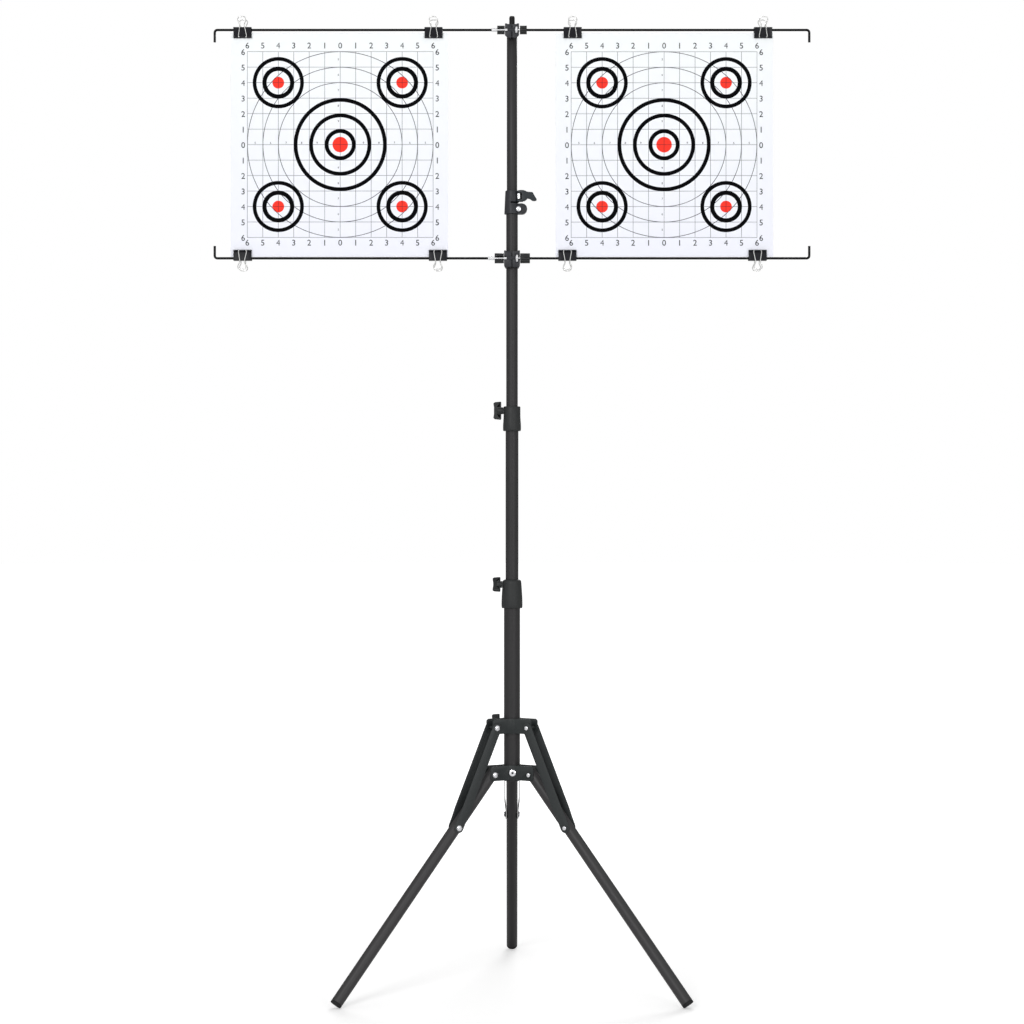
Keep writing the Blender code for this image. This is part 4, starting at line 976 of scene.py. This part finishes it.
for (side, level), centres in CLIP_PLACES.items():
    rod_z = TOP_ROD_Z if level == "top" else LOWER_ROD_Z
    flip = 0.0 if level == "top" else math.pi
    for number, clip_x in enumerate(centres, start=1):
        node = f"{side}_{level}_clip_{number}"
        place = Matrix.Translation((clip_x, ROD_Y, rod_z)) @ Matrix.Rotation(flip, 4, "X")
        finished(copied(clip_master, f"{node}_folded", place), CLIP_BLACK, node, 40.0)
        for face, front in (("front", -1), ("back", 1)):
            way = front if level == "top" else -front
            foot = place @ Matrix.Translation((0.0, way * ROLL_Y, ROLL_Z))
            foot = foot @ Matrix.Rotation(-way * HANDLE_TILT, 4, "X")
            handle = copied(handle_master, f"{node}_{face}_handle_bent", foot)
            finished(handle, HANDLE_SILVER, f"{node}_{face}_handle", 60.0)
bpy.data.objects.remove(clip_master)
bpy.data.objects.remove(handle_master)
print("clips: 8, handles: 16")

# %% [markdown]
# ## The printed sheets
#
# Each target is a sheet of paper with a sight-in grid: twelve squares each way, thin circles, three
# heavy rings round a red spot, and a smaller bull in each quarter. The grid and the rings are exact
# shapes, so the shader draws them from the distance to a line or a centre, and they stay sharp at
# any size. The four small bulls are one bull: folding the sheet at its two axes puts them together.
# Only the front is printed, so the sheet has two finishes, and its faces choose by the way they face.

# %% Printed paper
PITCH = 25.3 * MM
PRINT_CENTRES = {"left": (-280.7 * MM, 1379.2 * MM), "right": (248.5 * MM, 1379.0 * MM)}
LINE = 0.0165


def printed(name, centre_x, centre_z):
    finish = Finish(name)
    x, _, z = finish.axes(finish.place)
    right = (x - centre_x) / PITCH
    up = (z - centre_z) / PITCH

    def squares(value):
        part = finish.add("ShaderNodeMath", {"operation": "FRACT"}, {0: value + 20.5})
        return abs(part - 0.5) < LINE

    def ring(distance, outer, width):
        return abs(distance - (outer - width / 2)) < width / 2

    inside = (abs(right) < 6.0 + LINE) * (abs(up) < 6.0 + LINE)
    thin = squares(right).larger(squares(up)) * inside * 0.72
    reach = (right * right + up * up) ** 0.5
    for radius in (4.0, 5.0, 6.0):
        thin = thin.larger(ring(reach, radius + LINE, 2.4 * LINE))
    side_right = abs(right) - 4.0
    side_up = abs(up) - 4.0
    bull = (side_right * side_right + side_up * side_up) ** 0.5
    heavy = ring(reach, 3.01, 0.25).larger(ring(reach, 2.01, 0.25)).larger(ring(reach, 1.01, 0.26))
    heavy = heavy.larger(ring(bull, 1.655, 0.245)).larger(ring(bull, 1.035, 0.28))
    red = (reach < 0.5).larger(bull < 0.38)
    tinted = finish.between(red, paper_tone(finish, z), colour(252, 62, 50))
    lined = finish.between(thin, tinted, colour(40, 44, 52))
    inked = finish.between(heavy, lined, colour(3, 3, 5))
    finish.set(Base_Color=inked, Roughness=0.82 - heavy * 0.10, Specular_IOR_Level=0.04)
    return finish.material


def paper_tone(finish, z):
    """White paper, a little darker and bluer at its foot than at its top, with mottling and fibres."""
    fibre = finish.grain(0.35 * MM, 2.0)
    mottle = finish.grain(18.0 * MM, 3.0)
    height = (z - 1195.6 * MM) / (365.8 * MM)
    tone = finish.between(height, colour(240, 241, 250), colour(247, 250, 251))
    finish.relief(fibre * 0.6 + mottle * 0.4, 0.02 * MM, 0.4)
    return finish.between(mottle * 0.10 + fibre * 0.05, tone, colour(226, 232, 242))


blank = Finish("sheet_back")
blank.set(Base_Color=paper_tone(blank, blank.axes(blank.place)[2]), Roughness=0.82, Specular_IOR_Level=0.04)


# %% Sheets, hung with a slight bow
SHEET_WIDTH = 355.6 * MM
SHEET_LOW = 1195.6 * MM
SHEET_HIGH = 1561.4 * MM
SHEET_THICK = 0.24 * MM


def bow(along, up):
    """How far the sheet hangs back from the rods' plane, in metres, at shares of its width and height."""
    belly = math.sin(math.pi * up) ** 2
    wave = 0.35 * MM * math.sin(2 * math.pi * along + 0.6) * belly
    return (0.9 * MM + 0.3 * MM * math.cos(math.pi * along)) * belly + wave


def bowed(obj, centre_x):
    for vert in obj.data.vertices:
        along = (vert.co.x - centre_x) / SHEET_WIDTH + 0.5
        up = (vert.co.z - SHEET_LOW) / (SHEET_HIGH - SHEET_LOW)
        vert.co.y += bow(along, up)


SHEET_CENTRES = {"left": -282.0 * MM, "right": 249.0 * MM}
for side, centre_x in SHEET_CENTRES.items():
    bpy.ops.object.select_all(action="DESELECT")
    middle = (centre_x, ROD_Y, (SHEET_LOW + SHEET_HIGH) / 2)
    bpy.ops.mesh.primitive_plane_add(size=1.0, location=middle, rotation=(math.radians(90.0), 0.0, 0.0))
    sheet = bpy.context.object
    sheet.name = sheet.data.name = f"{side}_paper_printed"
    sheet.scale = (SHEET_WIDTH, SHEET_HIGH - SHEET_LOW, 1.0)
    bpy.ops.object.transform_apply(location=True, rotation=True, scale=True)
    bpy.ops.object.mode_set(mode="EDIT")
    bpy.ops.mesh.select_all(action="SELECT")
    bpy.ops.mesh.subdivide(number_cuts=35)
    bpy.ops.object.mode_set(mode="OBJECT")
    bowed(sheet, centre_x)
    thickness = sheet.modifiers.new("thickness", "SOLIDIFY")
    thickness.thickness = SHEET_THICK
    thickness.offset = 0.0
    bpy.ops.object.modifier_apply(modifier=thickness.name)
    finished(sheet, printed(f"{side}_sheet_print", *PRINT_CENTRES[side]), f"{side}_paper", 60.0)
    sheet.data.materials.append(blank.material)
    for face in sheet.data.polygons:
        face.material_index = 0 if face.normal.y < -0.5 else 1
print("sheets: 2, each", round(SHEET_WIDTH * 1000, 1), "x", round((SHEET_HIGH - SHEET_LOW) * 1000, 1), "mm")

# %% [markdown]
# ## Figures on the sheets
#
# Plain digits run along the four sides of the grid, counted from the middle, and small ones stand
# between the circles. They are text objects made into meshes, joined to one thin piece on each
# sheet, and bowed in the same way as the sheet they are printed on.

# %% Digits
INK = Finish("digit_ink")
ink_grain = INK.grain(0.5 * MM, 2.0)
INK.set(Base_Color=INK.between(ink_grain, colour(30, 33, 38), colour(44, 48, 54)))
INK.set(Roughness=0.7 + ink_grain * 0.1)
INK.set(Specular_IOR_Level=0.04)
INK.relief(ink_grain, 0.01 * MM, 0.3)


DIGIT_Y = ROD_Y - SHEET_THICK / 2 - 0.05 * MM
DIGIT_SIZE = 13.6 * MM
SMALL_DIGIT_SIZE = 4.8 * MM
BOLDER = 0.006
FOUR_THINNER = -0.004


def digit(figure, x, z, size):
    """One printed figure. The 4 is drawn thinner, since its small triangle would fill otherwise."""
    bpy.ops.object.text_add(location=(x, DIGIT_Y, z), rotation=(math.radians(90.0), 0.0, 0.0))
    text = bpy.context.object
    text.data.body = figure
    text.data.size = size
    text.data.align_x = "CENTER"
    text.data.align_y = "CENTER"
    text.data.extrude = 0.02 * MM
    text.data.offset = size * (FOUR_THINNER if figure == "4" else BOLDER)
    text.data.resolution_u = 3
    bpy.ops.object.convert(target="MESH")
    return bpy.context.object


for side, (print_x, print_z) in PRINT_CENTRES.items():
    figures = []
    for step in range(-6, 7):
        figure = str(abs(step))
        for place_x, place_z in ((step, 6.37), (step, -6.36), (-6.27, step - 0.05), (6.27, step - 0.05)):
            at = (print_x + place_x * PITCH, print_z + place_z * PITCH)
            figures.append(digit(figure, *at, DIGIT_SIZE))
    for step, figure in enumerate("98765"):
        out = 1.5 + step
        for place_x, place_z in ((out, 0.11), (-out, 0.11), (-0.12, out), (-0.12, -out)):
            at = (print_x + place_x * PITCH, print_z + place_z * PITCH)
            figures.append(digit(figure, *at, SMALL_DIGIT_SIZE))
    bpy.ops.object.select_all(action="DESELECT")
    for piece in figures:
        piece.select_set(True)
    bpy.context.view_layer.objects.active = figures[0]
    bpy.ops.object.join()
    print_piece = bpy.context.object
    print_piece.name = print_piece.data.name = f"{side}_sheet_digits"
    bpy.ops.object.transform_apply(location=True, rotation=True, scale=True)
    bowed(print_piece, SHEET_CENTRES[side])
    finished(print_piece, INK.material, f"{side}_paper", 30.0, hides=False)
    print(side, "figures:", len(figures), "points:", len(print_piece.data.vertices))
